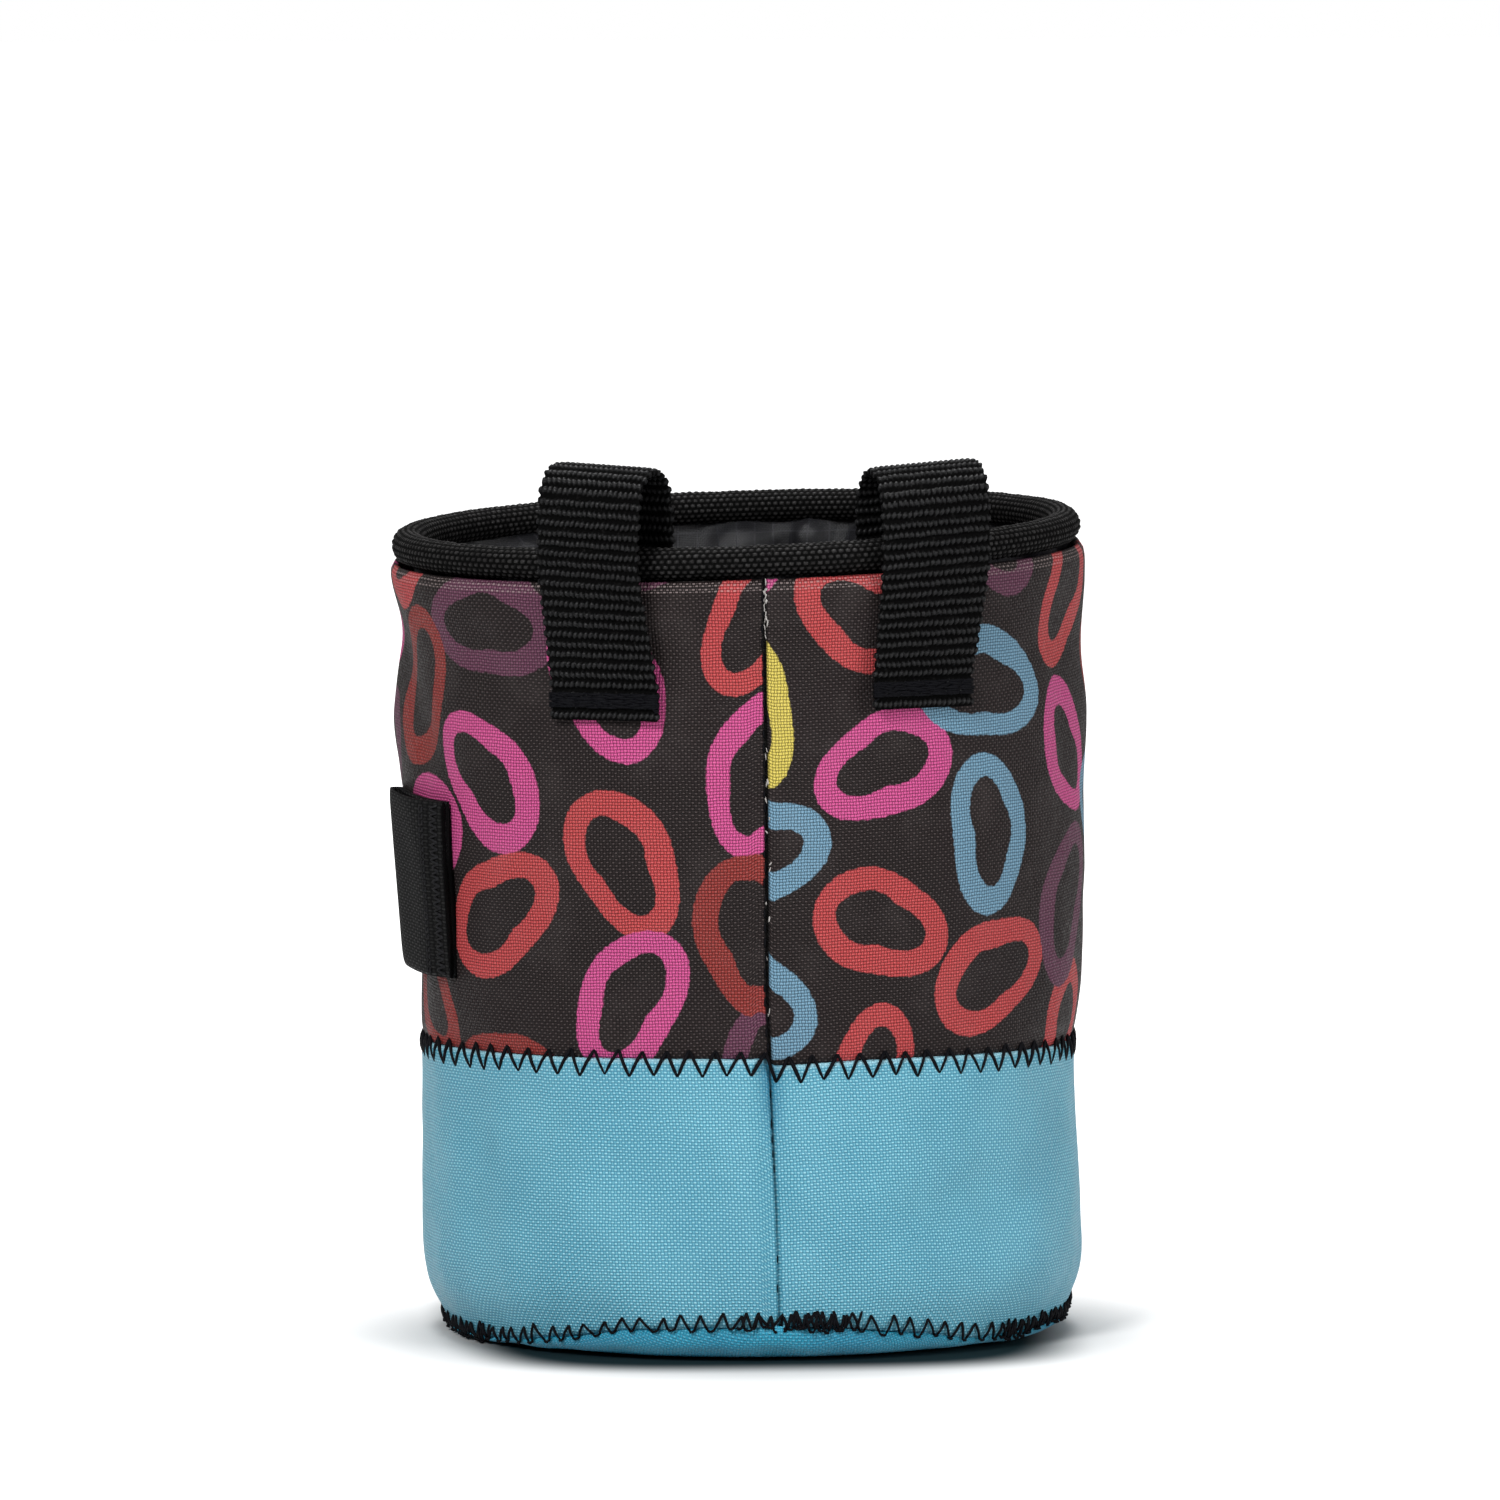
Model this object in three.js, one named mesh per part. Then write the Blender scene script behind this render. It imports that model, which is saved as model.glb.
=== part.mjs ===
// A small climbing chalk bag, standing open on its own base.
// A stiff hoop wrapped in woven tape holds the mouth open. Printed cloth hangs from it as a tube with
// one upright seam, a plain band of heavier cloth closes the tube below, and a round base is sewn
// into the band. A thin lining follows the walls inside. Two webbing loops on the seam side straddle
// the rim and take a waist belt, and a folded elastic on the left side takes a brush.
// Frame: millimetres, +Z up, the upright seam on the -Y side, the origin on the floor under the base.
import * as THREE from "three";

// Body sizes
const BAG_WIDTH = 100; // across the printed cloth, just under the rim
const BAG_DEPTH = 92; // seam side to far side, at the same level
const CLOTH_TOP = 111.35; // floor to the printed cloth's upper edge, its mean round the mouth
const BAND_TOP = 42; // floor to the upper edge of the plain band, its mean round the bag
const BASE_SEAM = 3.4; // floor to the seam between band and base, its mean round the bag
const PRINTED_CLOTH = 1.2; // thickness of the printed wall
const BAND_CLOTH = 1.2; // thickness of the plain wall
const BASE_CLOTH = 1.4; // thickness of the base
const LINING_CLOTH = 1; // thickness of the lining
const SEWN_GAP = 0.3; // clearance between pieces that are sewn together
const LINING_EASE = 0.45; // clearance between the lining and the walls and base round it

// Rim sizes
const RIM_TUBE = 4.8; // diameter of the taped hoop
const RIM_SETBACK = 0.7; // how far the printed cloth stands proud of the hoop

// Belt loop sizes
const WEBBING_WIDTH = 16;
const WEBBING = 1.4; // thickness of the webbing
const LOOP_ANGLE = 27; // degrees from the upright seam to where each loop crosses the rim
const LOOP_DROP = 19.2; // the outer leg's length below the cloth's upper edge
const LOOP_TACK = 3.6; // how much of the outer leg is sewn down flat
const LOOP_SPLAY = 1.5; // how much nearer to the seam the outer leg's end lies than its crossing
const LOOP_RISE = 10; // the arch's height above the rim's mean top
const LOOP_TAIL = 5.5; // the inner leg's length below the rim

// Brush loop sizes
const ELASTIC_WIDTH = 25; // upright width of the elastic
const ELASTIC = 0.9; // thickness of the elastic
const ELASTIC_MIDDLE = 65; // floor to the middle of the elastic
const ELASTIC_FRONT = 66.5; // degrees from the upright seam to the elastic's sewn ends
const ELASTIC_LENGTH = 26; // from the sewn ends to the fold, along the wall
const ELASTIC_HEM = 3.4; // how much of that is sewn down
const ELASTIC_OUT = 1.8; // how far its fold stands off the bag's plain outline

// Grid of the walls
const AROUND = 48; // equal steps round the bag
const CREASE_STEP = 2.6; // degrees from the upright seam to the extra grid line on each side
const PRINTED_ROWS = 14;
const BAND_ROWS = 6;
const HOOP_SIDES = 12;

// Sections of the outer wall. at is a share of CLOTH_TOP, width and lean are shares of BAG_WIDTH,
// depth is a share of BAG_DEPTH, and square is the exponent of the rounded outline, 2 for an ellipse.
const SECTIONS = [
  { at: 0.0, width: 0.44, depth: 0.455, lean: 0.0, square: 2.0 },
  { at: 0.03, width: 0.457, depth: 0.472, lean: 0.0, square: 2.02 },
  { at: 0.072, width: 0.47, depth: 0.485, lean: 0.0, square: 2.08 },
  { at: 0.125, width: 0.473, depth: 0.488, lean: -0.001, square: 2.12 },
  { at: 0.25, width: 0.47, depth: 0.485, lean: -0.006, square: 2.12 },
  { at: 0.377, width: 0.4695, depth: 0.481, lean: -0.01, square: 2.12 },
  { at: 0.467, width: 0.475, depth: 0.484, lean: -0.008, square: 2.12 },
  { at: 0.59, width: 0.484, depth: 0.489, lean: -0.01, square: 2.12 },
  { at: 0.736, width: 0.489, depth: 0.492, lean: -0.017, square: 2.12 },
  { at: 0.826, width: 0.49, depth: 0.492, lean: -0.018, square: 2.12 },
  { at: 0.885, width: 0.482, depth: 0.487, lean: -0.019, square: 2.12 },
  { at: 0.945, width: 0.492, depth: 0.495, lean: -0.025, square: 2.12 },
  { at: 1.0, width: 0.5, depth: 0.5, lean: -0.027, square: 2.12 },
];

// Folds and dents of the cloth, each a long soft valley or swelling. angle is degrees round from the
// upright seam, at its height as a share of CLOTH_TOP, slant degrees from level with the right end up,
// long and wide its half sizes as shares of CLOTH_TOP, and swell its height as a share of BAG_WIDTH.
const FOLDS = [
  { angle: -82, at: 0.815, slant: -39, long: 0.145, wide: 0.036, swell: -0.03 },
  { angle: -104, at: 0.79, slant: -50, long: 0.11, wide: 0.08, swell: 0.01 },
  { angle: -88, at: 0.585, slant: 90, long: 0.13, wide: 0.11, swell: -0.022 },
  { angle: 84, at: 0.885, slant: 12, long: 0.15, wide: 0.055, swell: -0.003 },
  { angle: 0, at: 0.88, slant: 0, long: 0.22, wide: 0.09, swell: -0.006 },
  { angle: -52, at: 0.235, slant: 84, long: 0.12, wide: 0.085, swell: -0.008 },
  { angle: 37, at: 0.2, slant: -9, long: 0.12, wide: 0.05, swell: -0.009 },
  { angle: 62, at: 0.3, slant: 60, long: 0.1, wide: 0.07, swell: -0.005 },
  { angle: 118, at: 0.62, slant: 55, long: 0.17, wide: 0.06, swell: -0.012 },
  { angle: 168, at: 0.8, slant: -30, long: 0.16, wide: 0.05, swell: -0.014 },
  { angle: -150, at: 0.68, slant: 40, long: 0.18, wide: 0.06, swell: -0.012 },
  { angle: -165, at: 0.2, slant: -15, long: 0.16, wide: 0.06, swell: -0.01 },
];

// The crease that the upright seam pulls into the wall. at is a share of CLOTH_TOP, and deep and wide
// are shares of BAG_WIDTH.
const CREASE = [
  { at: 0.03, deep: 0.003, wide: 0.016 },
  { at: 0.2, deep: 0.008, wide: 0.018 },
  { at: 0.36, deep: 0.013, wide: 0.02 },
  { at: 0.42, deep: 0.004, wide: 0.014 },
  { at: 1.0, deep: 0.004, wide: 0.014 },
];

// How each sewn edge dips round the bag, as shares of CLOTH_TOP: toRight and toBack tip it, and
// scallop lifts it at the seam and a third of the way round on both sides.
const TOP_EDGE = { height: CLOTH_TOP, toRight: 0.0148, toBack: 0.0095, scallop: 0 };
const BAND_EDGE = { height: BAND_TOP, toRight: -0.001, toBack: -0.008, scallop: 0.001 };
const BASE_EDGE = { height: BASE_SEAM, toRight: 0.005, toBack: -0.011, scallop: 0.0045 };

const UP = new THREE.Vector3(0, 0, 1);
const radians = THREE.MathUtils.degToRad;

function edgeHeight(edge, angle) {
  const a = radians(angle);
  const tip = edge.toRight * Math.sin(a) - edge.toBack * Math.cos(a);
  return edge.height + CLOTH_TOP * (tip + edge.scallop * Math.cos(3 * a));
}

// One column of a table at a height, on a smooth curve through its rows.
function column(rows, name, at) {
  if (at <= rows[0].at) return rows[0][name];
  const last = rows.length - 1;
  if (at >= rows[last].at) return rows[last][name];
  const i = rows.findIndex((row) => row.at > at) - 1;
  const slope = (k) => {
    const low = rows[Math.max(k - 1, 0)];
    const high = rows[Math.min(k + 1, last)];
    return (high[name] - low[name]) / (high.at - low.at);
  };
  const span = rows[i + 1].at - rows[i].at;
  const t = (at - rows[i].at) / span;
  const rise = t * t * (3 - 2 * t);
  const ease = t * (1 - t) * ((1 - t) * slope(i) - t * slope(i + 1)) * span;
  return rows[i][name] + rise * (rows[i + 1][name] - rows[i][name]) + ease;
}

// How far the folds and the seam's crease move the wall outwards at a place.
function swelling(angle, z) {
  const at = z / CLOTH_TOP;
  let moved = 0;
  for (const fold of FOLDS) {
    const turn = THREE.MathUtils.euclideanModulo(angle - fold.angle + 180, 360) - 180;
    const sideways = (radians(turn) * BAG_WIDTH) / 2;
    const up = (at - fold.at) * CLOTH_TOP;
    const slant = radians(fold.slant);
    const along = (sideways * Math.cos(slant) + up * Math.sin(slant)) / (fold.long * CLOTH_TOP);
    const across = (up * Math.cos(slant) - sideways * Math.sin(slant)) / (fold.wide * CLOTH_TOP);
    moved += fold.swell * BAG_WIDTH * Math.exp(-along * along - across * across);
  }
  const turn = THREE.MathUtils.euclideanModulo(angle + 180, 360) - 180;
  const beside = radians(turn) / (2 * column(CREASE, "wide", at));
  return moved - column(CREASE, "deep", at) * BAG_WIDTH * Math.exp(-beside * beside);
}

// A point of the bag's plain outline, without folds, moved outwards by reach.
function outlinePoint(angle, z, reach) {
  const at = z / CLOTH_TOP;
  const a = radians(angle);
  const power = 2 / column(SECTIONS, "square", at);
  const bend = (value) => Math.sign(value) * Math.abs(value) ** power;
  return new THREE.Vector3(
    (column(SECTIONS, "width", at) * BAG_WIDTH + reach) * bend(Math.sin(a)) +
      column(SECTIONS, "lean", at) * BAG_WIDTH,
    -(column(SECTIONS, "depth", at) * BAG_DEPTH + reach) * bend(Math.cos(a)),
    z,
  );
}

// A point of the wall, with its folds, inset inwards from its outer face.
function wallPoint(angle, z, inset) {
  return outlinePoint(angle, z, swelling(angle, z) - inset);
}

// The level direction that the wall faces at an angle, without its folds.
function facing(angle) {
  const step = 1;
  const along = wallPoint(angle + step, CLOTH_TOP, 0).sub(wallPoint(angle - step, CLOTH_TOP, 0));
  return new THREE.Vector3(along.y, -along.x, 0).normalize();
}

function gridAngles() {
  const angles = Array.from({ length: AROUND }, (_, i) => (i * 360) / AROUND);
  return [...angles, CREASE_STEP, 360 - CREASE_STEP].sort((p, q) => p - q);
}

// Evenly spaced values from one end to the other, both included.
function steps(from, to, count) {
  return Array.from({ length: count + 1 }, (_, i) => from + ((to - from) * i) / count);
}

function volumeOf(points, triangles) {
  const product = new THREE.Vector3();
  return triangles.reduce((sum, [i, j, k]) => {
    return sum + product.crossVectors(points[i], points[j]).dot(points[k]) / 6;
  }, 0);
}

// A closed geometry from points and triangles, with its faces turned outwards.
function solid(points, triangles) {
  const outwards = volumeOf(points, triangles) > 0;
  const index = triangles.flatMap(([i, j, k]) => (outwards ? [i, j, k] : [i, k, j]));
  const geometry = new THREE.BufferGeometry().setFromPoints(points);
  geometry.setIndex(index);
  geometry.computeVertexNormals();
  return geometry;
}

function quad(a, b, c, d) {
  return [
    [a, b, c],
    [a, c, d],
  ];
}

// Where the triangles of a level floor meet, as shares of BAG_WIDTH and BAG_DEPTH. It lies beside
// the origin, so that the origin is inside a flat triangle.
const POLE = { right: -0.1, back: 0.033 };

// A solid swept round the bag. profileAt gives its section at an angle: a closed loop of points or,
// with poles, a line that starts at one pole's height on the floor and ends at the other's.
function sweptAround(profileAt, poles = null) {
  const rings = gridAngles().map(profileAt);
  const size = rings[0].length;
  const points = rings.flat();
  const triangles = [];
  rings.forEach((_, i) => {
    const here = i * size;
    const next = ((i + 1) % rings.length) * size;
    const strips = poles ? size - 1 : size;
    for (let j = 0; j < strips; j += 1) {
      const k = (j + 1) % size;
      // Walls that lie on each other are split along the same diagonals, so that they stay parallel.
      const rising = points[here + k].z > points[here + j].z;
      if (rising) triangles.push(...quad(here + j, next + j, next + k, here + k));
      else triangles.push(...quad(next + j, next + k, here + k, here + j));
    }
    if (poles) {
      triangles.push([points.length, next, here]);
      triangles.push([points.length + 1, here + size - 1, next + size - 1]);
    }
  });
  for (const z of poles ?? []) {
    points.push(new THREE.Vector3(POLE.right * BAG_WIDTH, POLE.back * BAG_DEPTH, z));
  }
  return solid(points, triangles);
}

// A solid through sections of as many points each, closed at its two ends.
function sweptOpen(sections) {
  const size = sections[0].length;
  const triangles = [];
  const cap = (from) => {
    for (let j = 0; j < size / 2 - 1; j += 1) {
      triangles.push(...quad(from + j, from + j + 1, from + size - 2 - j, from + size - 1 - j));
    }
  };
  cap(0);
  for (let i = 0; i < sections.length - 1; i += 1) {
    for (let j = 0; j < size; j += 1) {
      const k = (j + 1) % size;
      triangles.push(...quad(size * i + k, size * i + j, size * (i + 1) + j, size * (i + 1) + k));
    }
  }
  const firstOfEnd = triangles.length;
  cap(size * (sections.length - 1));
  for (const triangle of triangles.slice(firstOfEnd)) triangle.reverse();
  return solid(sections.flat(), triangles);
}

// A flat strap through sections, each with its centre, the level direction across it and its facing.
function strap(sections, width, thickness) {
  return sweptOpen(
    sections.map(({ centre, across, face }) => {
      const side = across.clone().multiplyScalar(width / 2);
      const half = face.clone().multiplyScalar(thickness / 2);
      return [
        centre.clone().add(side).add(half),
        centre.clone().sub(side).add(half),
        centre.clone().sub(side).sub(half),
        centre.clone().add(side).sub(half),
      ];
    }),
  );
}

// The grid's heights up the band and up the printed cloth, which the walls and the lining share.
function bandRows(angle) {
  return steps(edgeHeight(BASE_EDGE, angle), edgeHeight(BAND_EDGE, angle), BAND_ROWS);
}

function printedRows(angle) {
  return steps(edgeHeight(BAND_EDGE, angle), edgeHeight(TOP_EDGE, angle), PRINTED_ROWS);
}

// A wall's section at an angle: up its outer face and down its inner one. low and high are how far
// its two edges lie above the first and the last of its rows.
function wallProfile(angle, rows, low, high, thickness) {
  const heights = [rows[0] + low, ...rows.slice(1, -1), rows.at(-1) + high];
  const outer = heights.map((z) => wallPoint(angle, z, 0));
  const inner = heights.reverse().map((z) => wallPoint(angle, z, thickness));
  return [...outer, ...inner];
}

// Printed cloth: a tube from the band up to the rim.
function printedBody() {
  return sweptAround((angle) => {
    return wallProfile(angle, printedRows(angle), SEWN_GAP / 2, 0, PRINTED_CLOTH);
  });
}

// Plain band: a tube from the base seam up to the printed cloth.
function plainBand() {
  return sweptAround((angle) => {
    return wallProfile(angle, bandRows(angle), SEWN_GAP / 2, -SEWN_GAP / 2, BAND_CLOTH);
  });
}

// A profile of the round base. inset is how far in from the base seam, as a share of BASE_TURN, and
// up a share of the seam's height.
const BASE_TURN = 6; // how far in from its seam the base curls before it lies on the floor
const BASE_CURL = [
  { inset: 0, up: 1 },
  { inset: 0.12, up: 0.62 },
  { inset: 0.42, up: 0.2 },
  { inset: 1, up: 0 },
];

function basePanel() {
  return sweptAround(
    (angle) => {
      const seam = edgeHeight(BASE_EDGE, angle) - SEWN_GAP / 2;
      const under = BASE_CURL.map(({ inset, up }) => {
        return wallPoint(angle, edgeHeight(BASE_EDGE, angle), inset * BASE_TURN).setZ(up * seam);
      });
      const over = BASE_CURL.map(({ inset, up }) => {
        const inFromSeam = BASE_CLOTH + inset * (BASE_TURN - BASE_CLOTH / 2);
        const z = BASE_CLOTH + up * Math.max(seam - BASE_CLOTH, 0);
        return wallPoint(angle, edgeHeight(BASE_EDGE, angle), inFromSeam).setZ(z);
      });
      return [...under.reverse(), ...over];
    },
    [0, BASE_CLOTH],
  );
}

// Lining: a thin cup inside the walls, with its floor on the base.
function lining() {
  const wall = Math.max(PRINTED_CLOTH, BAND_CLOTH) + LINING_EASE;
  const floor = BASE_CLOTH + LINING_EASE;
  const floorInset = BASE_CLOTH + BASE_TURN;
  return sweptAround(
    (angle) => {
      const rows = [...bandRows(angle).slice(1), ...printedRows(angle).slice(1)];
      const heights = [...rows.slice(0, -1), rows.at(-1) - SEWN_GAP];
      const seam = edgeHeight(BASE_EDGE, angle);
      const outer = heights.map((z) => wallPoint(angle, z, wall));
      const inner = heights.reverse().map((z) => wallPoint(angle, z, wall + LINING_CLOTH));
      return [
        wallPoint(angle, seam, floorInset).setZ(floor),
        ...outer,
        ...inner,
        wallPoint(angle, seam, floorInset + LINING_CLOTH / 2).setZ(floor + LINING_CLOTH),
      ];
    },
    [floor, floor + LINING_CLOTH],
  );
}

// Rim: the hoop in its tape, a round tube with a flattened underside that sits on the cloth's edge.
const HOOP_FLAT_SHARE = 0.86; // where the underside is cut level, as a share of the tube's radius

function hoopHeight(angle) {
  return edgeHeight(TOP_EDGE, angle) + SEWN_GAP + (HOOP_FLAT_SHARE * RIM_TUBE) / 2;
}

function rimBinding() {
  return sweptAround((angle) => {
    return steps(0, 360, HOOP_SIDES)
      .slice(1)
      .map((turn) => {
        const out = (Math.cos(radians(turn)) * RIM_TUBE) / 2;
        const up = (Math.max(Math.sin(radians(turn)), -HOOP_FLAT_SHARE) * RIM_TUBE) / 2;
        const inset = RIM_SETBACK + RIM_TUBE / 2 - out;
        return wallPoint(angle, edgeHeight(TOP_EDGE, angle), inset).setZ(hoopHeight(angle) + up);
      });
  });
}

// The belt loops. side is -1 for the left and 1 for the right, twist is the degrees that the webbing
// turns on its way from the cloth up to the rim, and roll the degrees that its outer edge then rises.
const BELT_LOOPS = [
  { name: "belt_loop_left", side: -1, twist: -8, roll: 2 },
  { name: "belt_loop_right", side: 1, twist: -12, roll: 4 },
];
const BESIDE = 24; // degrees to each side of a loop in which the wall is looked at, by twos
const LEG_STEPS = 5;
const ARCH_STEPS = 9;
const TAIL_STEPS = 3;

// A belt loop: up the outside of the wall, over the rim in an arch and down inside the mouth.
function beltLoop({ side, twist, roll }) {
  const angle = side * LOOP_ANGLE;
  const edge = edgeHeight(TOP_EDGE, angle);
  const anchor = wallPoint(angle, edge, 0);
  const faceAt = (share) => facing(angle).applyAxisAngle(UP, radians(twist * share));
  const clear = SEWN_GAP + WEBBING / 2;

  // How far the wall reaches along the webbing's facing, as the farthest or the nearest of its
  // places that the webbing's width covers.
  const reachOf = (farthest, z, inset, face) => {
    const across = new THREE.Vector3(-face.y, face.x, 0);
    const covered = steps(angle - BESIDE, angle + BESIDE, BESIDE)
      .map((beside) => wallPoint(beside, z, inset).sub(anchor))
      .filter((offset) => Math.abs(offset.dot(across)) < WEBBING_WIDTH / 2 + SEWN_GAP)
      .map((offset) => farthest * offset.dot(face));
    return farthest * Math.max(...covered);
  };

  const sections = [];
  const place = (reach, z, share, slide = 0) => {
    const face = faceAt(share);
    const rise = side * Math.tan(radians(roll * share));
    const across = new THREE.Vector3(-face.y, face.x, rise).normalize();
    const centre = anchor.clone().addScaledVector(face, reach).addScaledVector(across, slide);
    sections.push({ centre: centre.setZ(z), across });
  };

  // The outer leg lies on the cloth at its tack and runs straight from there to the rim.
  const bottom = edge - LOOP_DROP;
  const tack = bottom + LOOP_TACK;
  const atTack = reachOf(1, tack, 0, faceAt(0)) + clear;
  const atEdge = reachOf(1, edge, 0, faceAt(1)) + clear;
  const splay = -side * LOOP_SPLAY;
  place(reachOf(1, bottom, 0, faceAt(0)) + clear, bottom, 0, splay);
  for (const share of steps(0, 1, LEG_STEPS)) {
    const reach = atTack + share * (atEdge - atTack);
    place(reach, tack + share * (edge - tack), share, splay * (1 - share));
  }

  // The arch is a half circle from the outer leg to the inner one.
  const pastRim = reachOf(-1, edge, RIM_SETBACK + RIM_TUBE, faceAt(1)) - clear;
  const radius = (atEdge - pastRim) / 2;
  const top = CLOTH_TOP + hoopHeight(angle) - edge + RIM_TUBE / 2 + LOOP_RISE;
  const spring = top - WEBBING / 2 - radius;
  for (const turn of steps(0, 180, ARCH_STEPS)) {
    const along = pastRim + radius * (1 + Math.cos(radians(turn)));
    place(along, spring + radius * Math.sin(radians(turn)), 1);
  }

  // The inner leg passes the rim and bends back under it, to the lining.
  const onLining = Math.max(PRINTED_CLOTH, BAND_CLOTH) + LINING_EASE + LINING_CLOTH;
  place(pastRim, edge, 1);
  for (const share of steps(0, 1, TAIL_STEPS).slice(1)) {
    const z = edge - share * LOOP_TAIL;
    const liningReach = reachOf(-1, z - WEBBING, onLining, faceAt(1)) - clear;
    const eased = share * share * (3 - 2 * share);
    place(pastRim + eased * (liningReach - pastRim), z, 1);
  }

  sections.forEach((section, i) => {
    const before = sections[Math.max(i - 1, 0)].centre;
    const after = sections[Math.min(i + 1, sections.length - 1)].centre;
    const run = after.clone().sub(before).normalize();
    section.face = run.cross(section.across).normalize();
    section.face.multiplyScalar(-1);
  });
  return strap(sections, WEBBING_WIDTH, WEBBING);
}

// Brush loop: an elastic folded in half round the left side, with both its ends sewn down at the
// front and its fold standing open at the back.
const ELASTIC_STEPS = 10;
const FOLD_STEPS = 6;
const ELASTIC_ROWS = 3;

function brushLoop() {
  const bottom = ELASTIC_MIDDLE - ELASTIC_WIDTH / 2;
  const heights = steps(bottom, bottom + ELASTIC_WIDTH, ELASTIC_ROWS);
  const angleAt = (along) => -ELASTIC_FRONT - THREE.MathUtils.radToDeg((2 * along) / BAG_WIDTH);

  // The middle line of the elastic at a height, as places along the wall and off its plain outline.
  const lineAt = (z) => {
    const turnAt = ELASTIC_LENGTH - ELASTIC_OUT;
    const inner = (along) => swelling(angleAt(along), z) + SEWN_GAP + ELASTIC / 2;
    const outer = (along) => {
      const free = THREE.MathUtils.smoothstep(along, ELASTIC_HEM, turnAt);
      const sewn = inner(along) + ELASTIC + SEWN_GAP;
      return sewn + free * (ELASTIC_OUT - ELASTIC / 2 - sewn);
    };
    const alongWall = steps(0, turnAt, ELASTIC_STEPS);
    const line = alongWall.map((along) => new THREE.Vector2(along, inner(along)));
    const radius = (outer(turnAt) - inner(turnAt)) / 2;
    for (const turn of steps(-90, 90, FOLD_STEPS).slice(1, -1)) {
      const along = turnAt + radius * Math.cos(radians(turn));
      line.push(new THREE.Vector2(along, inner(turnAt) + radius * (1 + Math.sin(radians(turn)))));
    }
    line.push(...alongWall.reverse().map((along) => new THREE.Vector2(along, outer(along))));
    return line;
  };

  // One face of the elastic at a height, half its thickness to one side of that line.
  const faceAt = (z, side) => {
    return lineAt(z).map((place, i, line) => {
      const run = line[Math.min(i + 1, line.length - 1)].clone().sub(line[Math.max(i - 1, 0)]);
      const off = new THREE.Vector2(run.y, -run.x).setLength((side * ELASTIC) / 2).add(place);
      return outlinePoint(angleAt(off.x), z, off.y);
    });
  };
  const rims = [...heights.map((z) => faceAt(z, 1)), ...heights.reverse().map((z) => faceAt(z, -1))];
  return sweptOpen(rims[0].map((_, i) => rims.map((rim) => rim[i])));
}

const cloth = (color, roughness) => new THREE.MeshStandardMaterial({ color, roughness, metalness: 0 });
const PRINTED = cloth(0x2c2626, 0.75);
const TURQUOISE = cloth(0x62a6ba, 0.7);
const RIPSTOP = cloth(0x27272b, 0.6);
const BLACK_WEAVE = cloth(0x151515, 0.7);

function piece(name, geometry, material) {
  const mesh = new THREE.Mesh(geometry, material);
  mesh.name = name;
  return mesh;
}

const bag = new THREE.Group();
bag.add(
  piece("printed_body", printedBody(), PRINTED),
  piece("plain_band", plainBand(), TURQUOISE),
  piece("base_panel", basePanel(), TURQUOISE),
  piece("lining", lining(), RIPSTOP),
  piece("rim_binding", rimBinding(), BLACK_WEAVE),
  ...BELT_LOOPS.map((loop) => piece(loop.name, beltLoop(loop), BLACK_WEAVE)),
  piece("brush_loop", brushLoop(), BLACK_WEAVE),
);

export default bag;
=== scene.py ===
# %% [markdown]
# # A climbing chalk bag
#
# The bag is a small round cloth pot with a stiff rim. This script dresses the plain frame that the
# CAD source made: it measures the frame's walls, lays fine cloth over them, sews it with real
# stitches, and gives each piece a woven material. Everything is in metres, with the upright seam on
# the -Y side.

# %% Load the frame
import math

import bmesh
import bpy
import numpy as np
from mathutils import Matrix, Vector, noise
from mathutils.bvhtree import BVHTree


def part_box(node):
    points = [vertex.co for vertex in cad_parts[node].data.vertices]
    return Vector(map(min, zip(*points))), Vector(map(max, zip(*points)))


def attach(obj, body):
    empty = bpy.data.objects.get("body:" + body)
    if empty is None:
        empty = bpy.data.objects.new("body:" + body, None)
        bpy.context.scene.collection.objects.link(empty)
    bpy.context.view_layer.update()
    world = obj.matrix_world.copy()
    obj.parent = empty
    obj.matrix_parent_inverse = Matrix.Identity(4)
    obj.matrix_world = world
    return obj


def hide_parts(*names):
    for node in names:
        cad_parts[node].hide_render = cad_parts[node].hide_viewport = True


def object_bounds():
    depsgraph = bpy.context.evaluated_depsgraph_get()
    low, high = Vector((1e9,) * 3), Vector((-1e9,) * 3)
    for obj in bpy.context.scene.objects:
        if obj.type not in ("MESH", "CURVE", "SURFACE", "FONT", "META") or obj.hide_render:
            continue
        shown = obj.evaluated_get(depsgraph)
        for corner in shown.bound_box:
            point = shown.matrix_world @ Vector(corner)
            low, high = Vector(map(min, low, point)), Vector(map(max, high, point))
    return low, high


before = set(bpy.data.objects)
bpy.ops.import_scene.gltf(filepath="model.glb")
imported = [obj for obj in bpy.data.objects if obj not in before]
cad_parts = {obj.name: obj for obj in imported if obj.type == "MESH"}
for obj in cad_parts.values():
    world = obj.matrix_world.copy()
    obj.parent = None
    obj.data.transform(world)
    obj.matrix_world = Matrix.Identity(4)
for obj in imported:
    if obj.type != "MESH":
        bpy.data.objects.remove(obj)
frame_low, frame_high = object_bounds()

MM = 0.001
TAU = 2 * math.pi
BODY = "root"
frame_size = [round(side / MM, 1) for side in frame_high - frame_low]
print("frame of", len(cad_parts), "nodes,", frame_size, "mm")

# %% [markdown]
# ## Measuring the frame
#
# The frame's walls are made of flat triangles. A ray shot at the wall from outside says how far out
# it stands, so rays at many angles and heights give a table of the wall. Averaging the table over the
# width of one triangle takes the flat facets away and leaves the folds. The same could be done by
# subdividing the frame's mesh, but a table lets every later piece ask where the wall is.

# %% A search tree for rays
SAME_POINT = 0.001 * MM


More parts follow.
